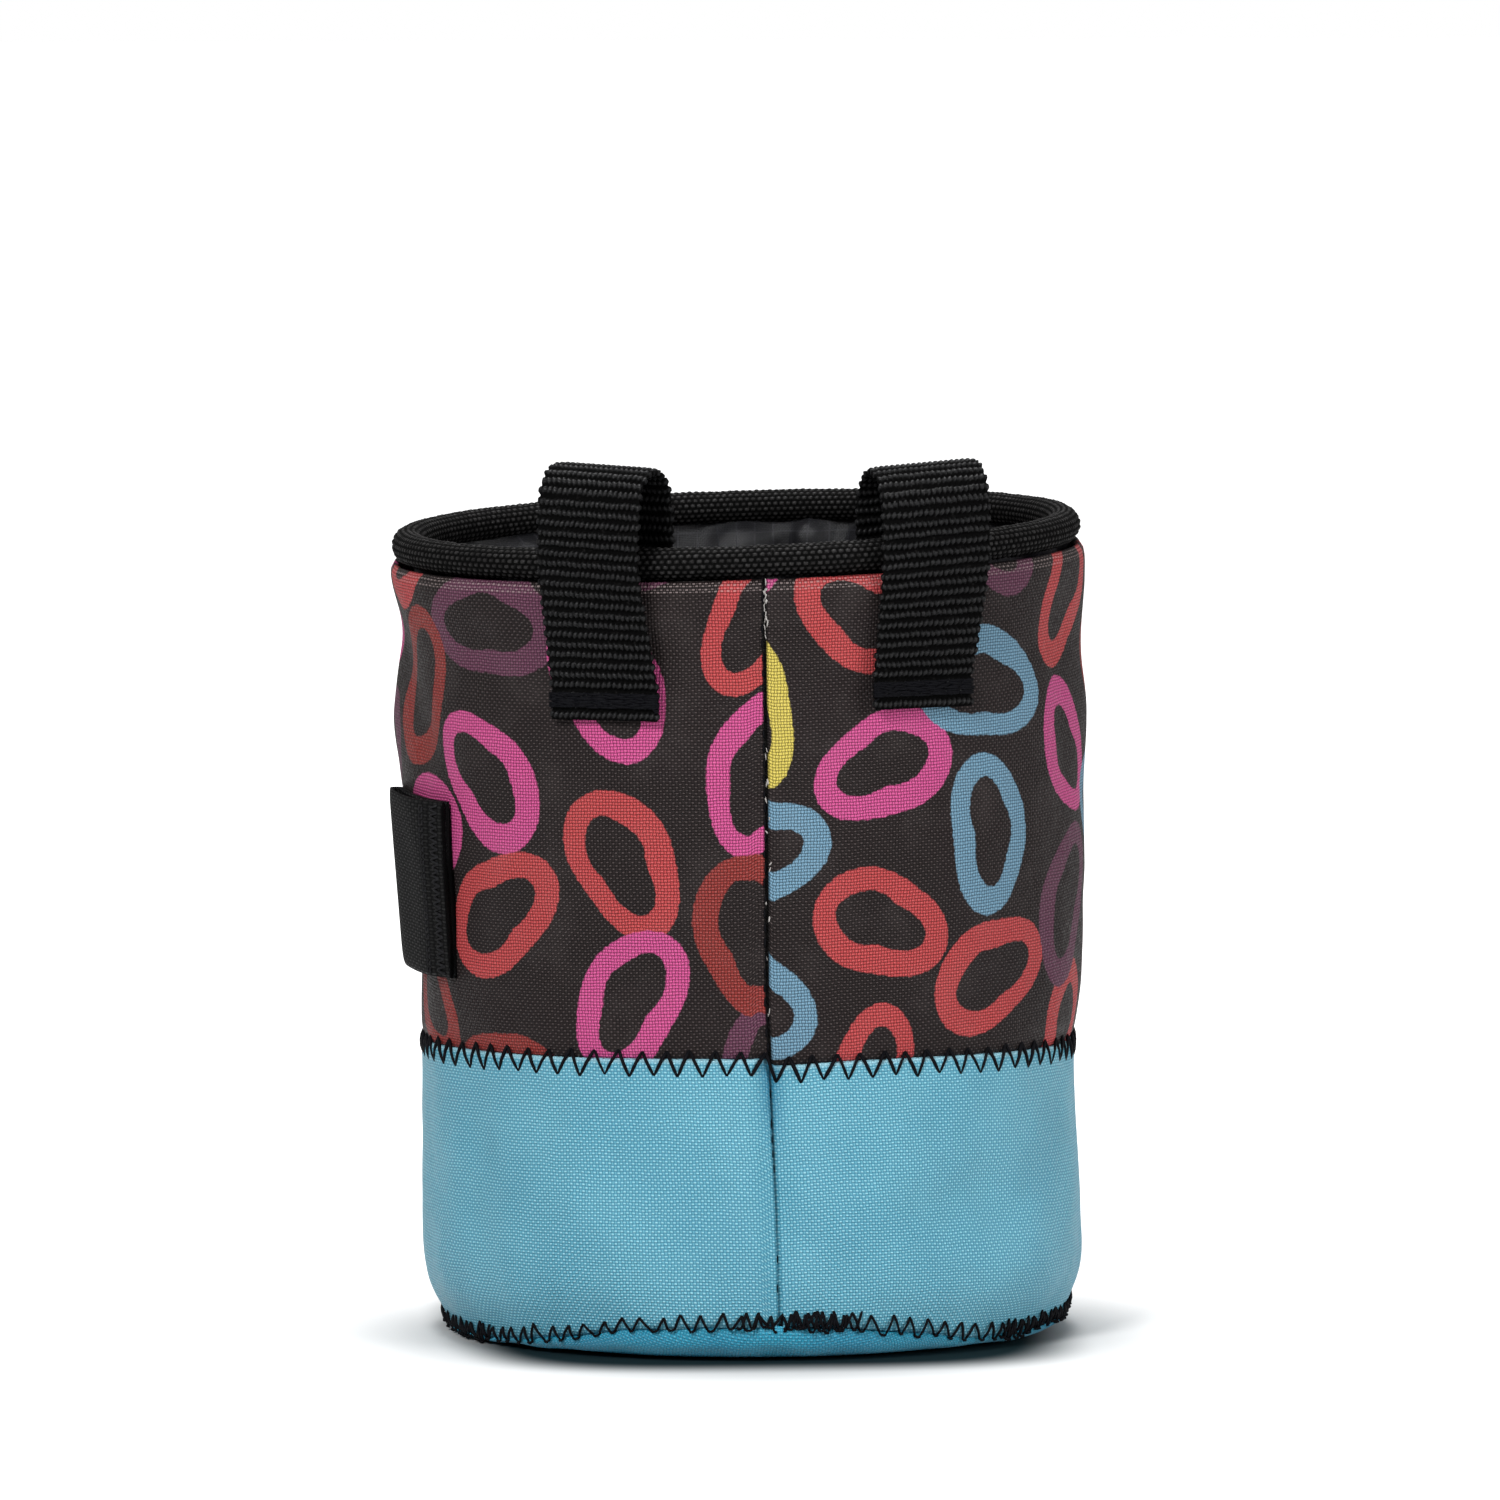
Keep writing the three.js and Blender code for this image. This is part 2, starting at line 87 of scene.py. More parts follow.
def merged(*nodes):
    """The meshes of frame nodes as one form, where points that triangles share are made one."""
    form = bmesh.new()
    for node in nodes:
        form.from_mesh(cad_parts[node].data)
    bmesh.ops.remove_doubles(form, verts=form.verts, dist=SAME_POINT)
    return form


def tree_of(*nodes):
    form = merged(*nodes)
    tree = BVHTree.FromBMesh(form)
    form.free()
    return tree


def inward(turn):
    """The level direction from an angle round the bag to its middle. 0 is the seam, 90 degrees is +X."""
    return Vector((-math.sin(turn), math.cos(turn), 0))


OUTSIDE = 90 * MM  # a distance from the middle that is clear of the bag


def reach(tree, turn, z):
    """How far from the middle a node's outer face stands at an angle and a height."""
    hit = tree.ray_cast(Vector((0, 0, z)) - inward(turn) * OUTSIDE, inward(turn), OUTSIDE)[0]
    return math.nan if hit is None else hit.xy.length


# %% A table of the wall's radius
TURNS = 480  # angles in the table
FACET_TURNS = 10  # of them, the width of one facet of the frame
LEVEL_STEP = 1 * MM
FACET_LEVELS = 6  # levels in the height of one facet
WALL_LOW, WALL_HIGH = 2.5 * MM, 113 * MM

turns = np.linspace(0, TAU, TURNS, endpoint=False)
levels = np.arange(WALL_LOW, WALL_HIGH, LEVEL_STEP)


def averaged(table, window, axis):
    """The table averaged over a window, whose two end values count half. Round the bag it wraps."""
    half = window // 2
    ends = [(0, 0), (0, 0)]
    ends[axis] = (half, half)
    wide = np.pad(table, ends, mode="wrap" if axis == 1 else "edge")
    total = np.zeros_like(table)
    for step in range(window + 1):
        share = (0.5 if step in (0, window) else 1) / window
        part = [slice(None), slice(None)]
        part[axis] = slice(step, step + table.shape[axis])
        total += share * wide[tuple(part)]
    return total


def wall_table():
    wall = tree_of("printed_body", "plain_band")
    table = np.array([[reach(wall, turn, z) for turn in turns] for z in levels])
    for column in table.T:
        known = ~np.isnan(column)
        column[:] = np.interp(levels, levels[known], column[known])
    return averaged(averaged(table, FACET_TURNS, axis=1), FACET_LEVELS, axis=0)


radii = wall_table()
print("wall table", radii.shape, "radius", (radii.min() / MM).round(1), "to", (radii.max() / MM).round(1))


def wall_radius(turn, z):
    """The bag's outer radius at arrays of angles and heights, between the places in the table."""
    across = np.asarray(turn) / TAU * TURNS
    up = np.clip((np.asarray(z) - WALL_LOW) / LEVEL_STEP, 0, len(levels) - 1.001)
    left, low = np.floor(across).astype(int), np.floor(up).astype(int)
    across, up = across - left, up - low
    right = (left + 1) % TURNS
    left = left % TURNS
    lower = radii[low, left] * (1 - across) + radii[low, right] * across
    upper = radii[low + 1, left] * (1 - across) + radii[low + 1, right] * across
    return lower * (1 - up) + upper * up


# %% [markdown]
# The sewn edges dip a little round the bag. Halving the distance between a height where a ray hits
# and one where it misses finds each edge to a few thousandths of a millimetre.

# %% The sewn edges
EDGE_TURNS = np.linspace(0, TAU, 96, endpoint=False)
EDGE_WINDOW = 4  # of those turns, which are averaged
HALVINGS = 14


def edge_of(node, inside, outside):
    """The height of a node's edge round the bag, as a function of the angle."""
    tree = tree_of(node)
    found = []
    for turn in EDGE_TURNS:
        hits, misses = inside(turn), outside(turn)
        for _ in range(HALVINGS):
            middle = (hits + misses) / 2
            if math.isnan(reach(tree, turn, middle)):
                misses = middle
            else:
                hits = middle
        found.append(hits)
    found = averaged(np.array([found]), EDGE_WINDOW, axis=1)[0]
    return lambda turn: np.interp(turn, EDGE_TURNS, found, period=TAU)


cloth_top = edge_of("printed_body", lambda t: 100 * MM, lambda t: 118 * MM)
cloth_foot = edge_of("printed_body", lambda t: 50 * MM, lambda t: 30 * MM)
band_top = edge_of("plain_band", lambda t: 30 * MM, lambda t: 50 * MM)
band_foot = edge_of("plain_band", lambda t: 15 * MM, lambda t: 0)
rim_top = edge_of("rim_binding", lambda t: cloth_top(t) + 2 * MM, lambda t: cloth_top(t) + 9 * MM)
for label, edge in (("cloth top", cloth_top), ("band top", band_top), ("band foot", band_foot)):
    print(label, [round(float(edge(turn)) / MM, 2) for turn in (0, 1.57, 3.14, 4.71)])

# %% [markdown]
# ## Cloth as a wrapped grid
#
# Each cloth is a flat grid whose points are moved onto the bag, with one side of the grid meeting
# the other at the upright seam. The grid's UV map keeps the place on the flat cloth in millimetres,
# so a weave or a print has its real scale and follows the folds.

# %% Wrapped grids
def grid_form(columns, rows, place, cloth, crown=None):
    """A grid bent by place(across, up), with cloth(across, up) as its UV map and, where a weave is
    modelled, crown(across, up) as an attribute: 0 in the gaps between yarns, 1 on top of them."""
    form = bmesh.new()
    uv = form.loops.layers.uv.new("cloth")
    bmesh.ops.create_grid(form, x_segments=columns, y_segments=rows, size=0.5)
    flat = np.array([point.co for point in form.verts])
    across, up = flat[:, 0] + 0.5, flat[:, 1] + 0.5
    for point, target in zip(form.verts, place(across, up)):
        point.co = target
    form.verts.index_update()
    if crown is not None:
        height = form.verts.layers.float.new("crown")
        for point, value in zip(form.verts, crown(across, up)):
            point[height] = value
    on_cloth = cloth(across, up)
    for face in form.faces:
        for corner in face.loops:
            corner[uv].uv = on_cloth[corner.vert.index]
    bmesh.ops.remove_doubles(form, verts=form.verts, dist=0.0005 * MM)
    return form


def meshed(form, name):
    mesh = bpy.data.meshes.new(name)
    form.to_mesh(mesh)
    form.free()
    return mesh


def finished(form, name, material, replaced=()):
    """Makes a form an object that rides on the bag, smooth shaded, with its material and slot."""
    mesh = meshed(form, name)
    mesh.polygons.foreach_set("use_smooth", [True] * len(mesh.polygons))
    mesh.materials.append(material)
    piece = bpy.data.objects.new(name, mesh)
    bpy.context.collection.objects.link(piece)
    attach(piece, BODY)
    if replaced:
        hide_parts(*replaced)
    print(name, len(mesh.polygons), "faces,", [round(side / MM, 1) for side in piece.dimensions], "mm")
    return piece


def thicken(piece, thickness):
    """Gives a sheet its thickness, inwards from its outer face."""
    wall = piece.modifiers.new("thickness", "SOLIDIFY")
    wall.thickness = thickness
    wall.offset = -1


def round_the_bag(turn, radius, z):
    """Points at arrays of angles, radii and heights."""
    return np.stack([radius * np.sin(turn), -radius * np.cos(turn), z], axis=-1)


SEAM_CROWDING = 0.8  # how much closer the grid's columns stand at the upright seam than on average


def turn_of(across):
    """The angle of a grid column, crowded towards the seam where the fine folds are."""
    return TAU * across - SEAM_CROWDING * np.sin(TAU * across)


MEAN_RADIUS = 47.5 * MM


def cloth_place(turn, below):
    """A place on the flat cloth, in millimetres. The weave's rows run along the cloth's top edge."""
    return np.stack([turn * MEAN_RADIUS / MM, -below / MM], axis=-1)


def soft_noise(points, size, seed):
    """Smooth noise between about -0.5 and 0.5 at each point, with swells of a given size."""
    shift = Vector((seed * 7.3, seed * 3.1, seed * 5.7))
    return np.array([noise.noise(Vector(point) / size + shift) for point in points])


# %% [markdown]
# ## Folds that the frame is too coarse for
#
# The upright seam pulls a narrow valley into both cloths, deepest where it meets the band. The
# seam's two sides don't quite meet there: the band is about a millimetre lower on the right. The
# seam of the base sinks on both sides of the front, and the foot of the wall turns in there. All of
# these are plain functions of the angle and the height, so every piece can follow them.

# %% Fine folds
SEAM_STEP = 1.2 * MM  # how much lower the band's edge is to the right of the seam
SEAM_STEP_LENGTH = 11 * MM


def bell(distance, width):
    return np.exp(-((distance / width) ** 2))


def fade(distance, width):
    """1 at a line, falling off away from it."""
    return np.exp(-distance / width)


def past(distance, width):
    """0 before a line and 1 past it."""
    return 1 / (1 + fade(distance, width))


def wrapped(turn):
    """An angle between -180 and 180 degrees."""
    return (turn + math.pi) % TAU - math.pi


LEAN_HEIGHTS = np.array([5, 22, 51, 80, 112]) * MM
LEAN = np.array([-0.5, -1.0, -2.5, -2.65, -3.0]) * MM  # how far left the seam runs at those heights


def seam_turn(z):
    """The angle of the upright seam, which leans a little to the left on its way up."""
    return np.interp(z, LEAN_HEIGHTS, LEAN) / MEAN_RADIUS


def from_seam(turn, z):
    """The distance round the bag from the upright seam, positive to the right."""
    return wrapped(np.asarray(turn) - seam_turn(z)) * MEAN_RADIUS


def seam_step(turn):
    """How much the sewn edge of cloth and band drops beside the seam."""
    beside = from_seam(turn, band_top(0))
    return -SEAM_STEP * past(beside, 0.25 * MM) * fade(np.abs(beside), SEAM_STEP_LENGTH)


def cloth_edge(turn):
    return (cloth_foot(turn) + band_top(turn)) / 2 + seam_step(turn)


DIP_TURNS = np.radians([0, 11, 27, 42, 54, 65, 90, 180, 270, 286, 296, 305, 319, 331, 360])
DIPS = np.array([0, -0.3, -1.6, -2.7, -2.6, -2.0, -0.8, 0, -1.9, -2.4, -2.3, -1.7, -0.9, 0, 0]) * MM
TUCK = 0.9  # how far the foot of the wall turns in, for each unit that its seam sinks
TUCK_HEIGHT = 4 * MM


def seam_low(turn):
    """The seam of the base, which the cloth's slack lets sink on both sides of the front."""
    turn = np.asarray(turn) % TAU
    return np.maximum(band_foot(turn) + np.interp(turn, DIP_TURNS, DIPS), 0.9 * MM)


def tuck(turn, z):
    """The wall's foot rolls inwards where its seam sinks."""
    above = np.clip(z - seam_low(turn), 0, None)
    return TUCK * (seam_low(turn) - band_foot(turn)) * bell(above, TUCK_HEIGHT)


def seam_valley(turn, z):
    """The valley of the upright seam: a soft one, a slit in it, and a pucker below the band's edge."""
    beside, below = from_seam(turn, z), cloth_edge(turn) - z
    on_band = past(below, 0.4 * MM)
    pull = fade(np.clip(below, 0, None), 11 * MM) * on_band
    soft = (0.25 * MM + 0.4 * MM * on_band + 0.7 * MM * pull) * bell(beside, 1.5 * MM + 0.7 * MM * on_band)
    return -soft - (0.45 * MM + 0.25 * MM * on_band) * bell(beside, 0.3 * MM)


DENTS = (  # angle in degrees, height, half width, half height and depth in millimetres
    (-62, 24, 5, 15, 0.9),
    (40, 22, 10, 5, 1.1),
    (52, 12, 8, 6, -0.7),
    (-30, 30, 12, 8, 0.35),
    (-46, 10, 9, 6, -0.5),
    (66, 88, 5, 14, 0.6),
    (-38, 60, 14, 10, 0.3),
)


def dents(turn, z):
    """Broad shallow dents that hands have pressed into the cloth."""
    total = np.zeros_like(z)
    for degrees, height, half_width, half_height, depth in DENTS:
        aside = wrapped(turn - math.radians(degrees)) * MEAN_RADIUS
        total -= depth * MM * bell(aside, half_width * MM) * bell(z - height * MM, half_height * MM)
    return total


def ripples(turn, z):
    """The faint unevenness of sewn canvas."""
    points = round_the_bag(turn, MEAN_RADIUS, z)
    swells = 0.7 * MM * soft_noise(points, 19 * MM, 1) + 0.25 * MM * soft_noise(points, 7 * MM, 2)
    return swells + dents(turn, z) + tuck(turn, z)

# %% [markdown]
# ## Building materials from nodes
#
# Every cloth here is a Principled shader with a weave that drives its colour and its bump. A few
# helpers keep the node code as short as the formula that it stands for.

# %% Node helpers
MILLIMETRE_BUMP = MM  # a Bump node with this distance reads heights in millimetres


def fill(tree, made, values):
    """Links sockets or sets numbers on a node, by the input's name or number."""
    for name, value in values.items():
        if isinstance(value, bpy.types.NodeSocket):
            tree.links.new(value, made.inputs[name])
        else:
            made.inputs[name].default_value = value
    return made


def node(tree, kind, values=None, **settings):
    """Adds a shader node with its settings and its inputs' values."""
    made = tree.nodes.new("ShaderNode" + kind)
    for name, value in settings.items():
        setattr(made, name, value)
    return fill(tree, made, values or {})


def calc(tree, operation, *values):
    return node(tree, "Math", dict(enumerate(values)), operation=operation).outputs[0]


def times(tree, *values):
    return calc(tree, "MULTIPLY", *values)


def vector(tree, operation, *values):
    return node(tree, "VectorMath", dict(enumerate(values)), operation=operation).outputs[0]


def size_of(tree, value):
    """The length of a vector."""
    return node(tree, "VectorMath", {0: value}, operation="LENGTH").outputs["Value"]


def parts(tree, value):
    """The three coordinates of a vector."""
    return node(tree, "SeparateXYZ", {0: value}).outputs


def speckle(tree, place, scale, detail, roughness=0.5):
    """Noise at a place: a number, and a colour whose parts are three such numbers."""
    values = {"Vector": place, "Scale": scale, "Detail": detail, "Roughness": roughness}
    return node(tree, "TexNoise", values).outputs


def mixed(tree, share, first, second):
    """A share of the second colour over the first."""
    return node(tree, "Mix", {0: share, 6: first, 7: second}, data_type="RGBA").outputs[2]


def ranged(tree, value, low, high, to_low=0.0, to_high=1.0):
    """A soft step from to_low to to_high, while the value goes from low to high."""
    values = {"Value": value, "From Min": low, "From Max": high, "To Min": to_low, "To Max": to_high}
    return node(tree, "MapRange", values, interpolation_type="SMOOTHSTEP").outputs[0]


def linear(red, green, blue):
    """A screen colour from 0 to 255 as the linear colour that a shader takes."""
    return (*(((part / 255 + 0.055) / 1.055) ** 2.4 for part in (red, green, blue)), 1)


VECTOR, NUMBER = "NodeSocketVector", "NodeSocketFloat"


def new_group(name, inputs, outputs):
    """An empty group with its sockets, and the ends that its nodes link to."""
    group = bpy.data.node_groups.new(name, "ShaderNodeTree")
    for label, (kind, value) in inputs.items():
        group.interface.new_socket(label, in_out="INPUT", socket_type=kind).default_value = value
    for label, kind in outputs.items():
        group.interface.new_socket(label, in_out="OUTPUT", socket_type=kind)
    given, taken = group.nodes.new("NodeGroupInput"), group.nodes.new("NodeGroupOutput")
    return group, given.outputs, taken.inputs


def placed(tree, group, values):
    """Places a group in a material and gives its outputs."""
    return fill(tree, node(tree, "Group", node_tree=group), values).outputs


def cloth_material(name, roughness, specular):
    """A material with its tree, its shader and the place on the flat cloth in millimetres."""
    material = bpy.data.materials.new(name)
    material.use_nodes = True
    tree = material.node_tree
    shader = tree.nodes["Principled BSDF"]
    shader.inputs["Roughness"].default_value = roughness
    shader.inputs["Specular IOR Level"].default_value = specular
    return material, tree, shader, node(tree, "UVMap", uv_map="cloth").outputs[0]


def dress(tree, shader, colour, height, roughness=None):
    """Links a colour and a height in millimetres to the shader."""
    bump = node(tree, "Bump", {"Height": height, "Distance": MILLIMETRE_BUMP, "Strength": 1.0})
    tree.links.new(bump.outputs[0], shader.inputs["Normal"])
    tree.links.new(colour, shader.inputs["Base Color"])
    if roughness is not None:
        tree.links.new(roughness, shader.inputs["Roughness"])


# %% [markdown]
# ## The weave
#
# In a plain weave each yarn passes over one crossing and under the next, so crossings where the
# upright yarn is on top alternate with ones where the level yarn is. Two sine waves across each
# crossing, mixed by that alternation, give the round bead of the yarn on top. It is a group, because
# the canvas, the lining, the tape and the webbing all use it with their own yarns.

# %% Weave group
def make_weave():
    group, given, taken = new_group(
        "weave",
        {"Place": (VECTOR, (0, 0, 0)), "Yarns": (VECTOR, (0.45, 0.45, 1)), "Wander": (NUMBER, 0.12)},
        {"Height": NUMBER, "Gap": NUMBER, "Yarn": NUMBER},
    )
    drift = vector(group, "SUBTRACT", speckle(group, given["Place"], 0.22, 2.0)[1], (0.5, 0.5, 0.5))
    drift = node(group, "VectorMath", {0: drift, "Scale": given["Wander"]}, operation="SCALE").outputs[0]
    counted = vector(group, "DIVIDE", vector(group, "ADD", given["Place"], drift), given["Yarns"])
    crossing = vector(group, "FLOOR", counted)
    share = vector(group, "FRACTION", counted)
    wave = vector(group, "SINE", vector(group, "MULTIPLY", share, (math.pi, math.pi, 0)))
    column, row, _ = parts(group, crossing)
    upright_on_top = calc(group, "FLOORED_MODULO", calc(group, "ADD", column, row), 2.0)
    across, up, _ = parts(group, wave)
    crown = node(group, "Mix", {0: upright_on_top, 2: across, 3: up}, data_type="FLOAT").outputs[0]
    height = times(group, calc(group, "ADD", times(group, across, up), crown), 0.5)
    height = times(group, height, calc(group, "MULTIPLY_ADD", upright_on_top, 0.45, 0.55))
    group.links.new(height, taken["Height"])
    group.links.new(ranged(group, height, 0.05, 0.6, 1.0, 0.0), taken["Gap"])
    group.links.new(node(group, "TexWhiteNoise", {"Vector": crossing}).outputs["Value"], taken["Yarn"])
    return group


WEAVE = make_weave()


def woven(tree, place, yarns, wander):
    """The weave at a place, for yarns of given widths in millimetres that wander a little."""
    return placed(tree, WEAVE, {"Place": place, "Yarns": yarns, "Wander": wander})


# %% [markdown]
# ## The print
#
# The printed canvas carries a scattered pattern of open coloured rings. Each ring is a slightly egg
# shaped oval in a cell of its own. White noise gives the cell its shift, turn, size and colour, so
# nothing is drawn by hand. Four layers of cells fill the cloth, each half a cell to the side of the
# one before and a quarter of a cell above it. As on any sewn tube, the upright seam cuts the pattern.

# %% Ring group
RING_CELL = (40.0, 43.0, 1.0)  # millimetres of cloth for each ring of one layer
RING_SHIFT = 1.6  # how far a ring strays from its cell's middle
RING_HALF_WIDTH = 6.0
RING_SLIMNESS = 0.66  # 0 is round, towards 1 is longer
EGG_SHAPE = 0.07  # how far a ring's outline strays from an oval, as a share of its size
STROKE, STROKE_CHANGE = 3.6, 0.22  # a line's width, and how much thinner one of its sides is
INK_BLUR = 0.13


def make_ring():
    group, given, taken = new_group(
        "printed_ring",
        {"Place": (VECTOR, (0, 0, 0)), "Aside": (VECTOR, (0, 0, 0))},
        {"Ink": NUMBER, "Hue": NUMBER},
    )
    counted = vector(group, "DIVIDE", vector(group, "ADD", given["Place"], given["Aside"]), RING_CELL)
    cell = vector(group, "ADD", vector(group, "FLOOR", counted), given["Aside"])
    inside = vector(group, "SUBTRACT", vector(group, "FRACTION", counted), (0.5, 0.5, 0.5))
    inside = vector(group, "MULTIPLY", inside, RING_CELL)
    chance = node(group, "TexWhiteNoise", {"Vector": cell})
    other = node(group, "TexWhiteNoise", {"Vector": vector(group, "ADD", cell, (13, 41, 7))})
    stray = vector(group, "SUBTRACT", chance.outputs["Color"], (0.5, 0.5, 0.5))
    stray = vector(group, "MULTIPLY", stray, (2 * RING_SHIFT, 2 * RING_SHIFT, 0))
    centred = vector(group, "MULTIPLY", vector(group, "SUBTRACT", inside, stray), (1, 1, 0))
    turn = {"Vector": centred, "Angle": times(group, chance.outputs["Value"], TAU)}
    turned = node(group, "VectorRotate", turn, rotation_type="Z_AXIS").outputs[0]
    across, up, _ = parts(group, turned)
    angle = calc(group, "ARCTAN2", up, across)
    far = size_of(group, turned)
    cosine, sine = calc(group, "COSINE", angle), calc(group, "SINE", angle)
    squash = calc(group, "MULTIPLY_ADD", times(group, cosine, cosine), -RING_SLIMNESS, 1.0)
    luck = node(group, "SeparateColor", {0: other.outputs["Color"]})
    phase = calc(group, "MULTIPLY_ADD", luck.outputs[0], TAU, times(group, angle, 3.0))
    egg = calc(group, "MULTIPLY_ADD", calc(group, "COSINE", phase), EGG_SHAPE, 1.0)
    lean = calc(group, "ADD", times(group, luck.outputs[1], TAU), angle)
    size = calc(group, "MULTIPLY_ADD", luck.outputs[2], 0.16 * RING_HALF_WIDTH, 0.88 * RING_HALF_WIDTH)
    ring = calc(group, "DIVIDE", times(group, size, egg), calc(group, "SQRT", squash))
    steep = calc(group, "DIVIDE", times(group, times(group, cosine, sine), RING_SLIMNESS), squash)
    slope = calc(group, "SQRT", calc(group, "MULTIPLY_ADD", steep, steep, 1.0))
    off = calc(group, "DIVIDE", calc(group, "ABSOLUTE", calc(group, "SUBTRACT", far, ring)), slope)
    off = calc(group, "MULTIPLY_ADD", calc(group, "COSINE", lean), STROKE_CHANGE, off)
    ink = ranged(group, off, STROKE / 2 - INK_BLUR, STROKE / 2 + INK_BLUR, 1.0, 0.0)
    group.links.new(ink, taken["Ink"])
    group.links.new(other.outputs["Value"], taken["Hue"])
    return group


RING = make_ring()

# %% [markdown]
# The weave's gaps get painted shade, a near-black mixed into the colour, and the yarns' crowns a
# painted highlight, a pale grey for the small glints of the coated cloth.

# %% Printed canvas material
INK_GROUND = linear(34, 27, 27)
INKS = (  # each with the share of rings below which it starts
    (0.0, linear(208, 190, 88)),
    (0.1, linear(110, 150, 174)),
    (0.28, linear(202, 80, 140)),
    (0.46, linear(186, 70, 72)),
    (0.7, linear(100, 58, 80)),
    (0.86, linear(142, 52, 48)),
)
RING_LAYERS = ((3, 5, 0), (3 + 20, 5 + 10.75, 1), (3, 5 + 21.5, 2), (3 + 20, 5 + 32.25, 3))
# Painted shade for the weave's gaps and the seam, and a painted highlight for the yarns' crowns.
PRINT_GAP_SHADE, PRINT_CROWN_HIGHLIGHT, PRINT_SEAM_SHADE = linear(14, 11, 11), linear(150, 138, 136), linear(10, 9, 9)
CANVAS_YARNS = (0.46, 0.43, 1)
CANVAS_RELIEF = 0.17
WORN_ROWS = (0.5, 1.3)  # millimetres below the print's top edge
CLOTH_LENGTH = TAU * MEAN_RADIUS / MM


def seam_shade(tree, place, full, none):
    """1 on the upright seam's line, where the cloth dips out of the light, falling to 0 beside it."""
    along = parts(tree, place)[0]
    beside = calc(tree, "MINIMUM", along, calc(tree, "SUBTRACT", CLOTH_LENGTH, along))
    return ranged(tree, beside, full, none, 1.0, 0.0)


def printed_canvas():
    material, tree, shader, place = cloth_material("printed_canvas", 0.5, specular=0.12)
    weave = woven(tree, place, CANVAS_YARNS, 0.5)
    bleed = vector(tree, "MULTIPLY_ADD", speckle(tree, place, 1.3, 1.0)[1], (0.5, 0.5, 0), place)
    colour = mixed(tree, 0.0, INK_GROUND, INK_GROUND)
    for aside in RING_LAYERS:
        ring = placed(tree, RING, {"Place": bleed, "Aside": aside})
        hue = node(tree, "ValToRGB", {0: ring["Hue"]})
        ramp = hue.color_ramp
        ramp.interpolation = "CONSTANT"
        while len(ramp.elements) < len(INKS):
            ramp.elements.new(0.5)
        for element, (start, ink) in zip(ramp.elements, INKS):
            element.position, element.color = start, ink
        colour = mixed(tree, ring["Ink"], colour, hue.outputs[0])
    # Painted shade: the colour darkens towards near-black in the weave's gaps.
    colour = mixed(tree, times(tree, weave["Gap"], 0.75), colour, PRINT_GAP_SHADE)
    # Painted highlight: the yarns' crowns are mixed towards a pale grey.
    crown = times(tree, ranged(tree, weave["Height"], 0.6, 0.95), 0.16)
    colour = mixed(tree, crown, colour, PRINT_CROWN_HIGHLIGHT)
    worn = ranged(tree, speckle(tree, place, 0.11, 4.0, 0.6)[0], 0.45, 0.8, 0.0, 0.04)
    colour = mixed(tree, worn, colour, linear(150, 140, 138))
    from_top = parts(tree, place)[1]
    rows = [ranged(tree, calc(tree, "ABSOLUTE", calc(tree, "ADD", from_top, row)), 0.15, 0.3, 1.0, 0.0)
            for row in WORN_ROWS]
    bare = times(tree, calc(tree, "ADD", *rows), ranged(tree, weave["Height"], 0.35, 0.7))
    colour = mixed(tree, times(tree, bare, 0.55), colour, linear(150, 136, 134))
    # Painted shade along the upright seam's line.
    colour = mixed(tree, seam_shade(tree, place, 0.2, 0.5), colour, PRINT_SEAM_SHADE)
    height = times(tree, weave["Height"], CANVAS_RELIEF)
    shine = calc(tree, "MULTIPLY_ADD", weave["Yarn"], 0.22, 0.4)
    dress(tree, shader, colour, height, shine)
    return material


PRINTED_CANVAS = printed_canvas()

# %% [markdown]
# The plain canvas is the same weave in one colour, with soft patches. Its gaps get painted shade and
# its crowns a painted highlight. The pucker and the line of the upright seam are painted shade,
# because they are finer than the mesh.

# %% Turquoise canvas material
# Painted shade for the weave's gaps and a painted highlight for the yarns' crowns.
CANVAS_GAP_SHADE, CANVAS_CROWN_HIGHLIGHT = linear(30, 108, 138), linear(176, 220, 232)
# Painted shade for the pucker and the seam's line.
PUCKER_SHADE, SEAM_LINE_SHADE = linear(18, 104, 138), linear(6, 46, 62)


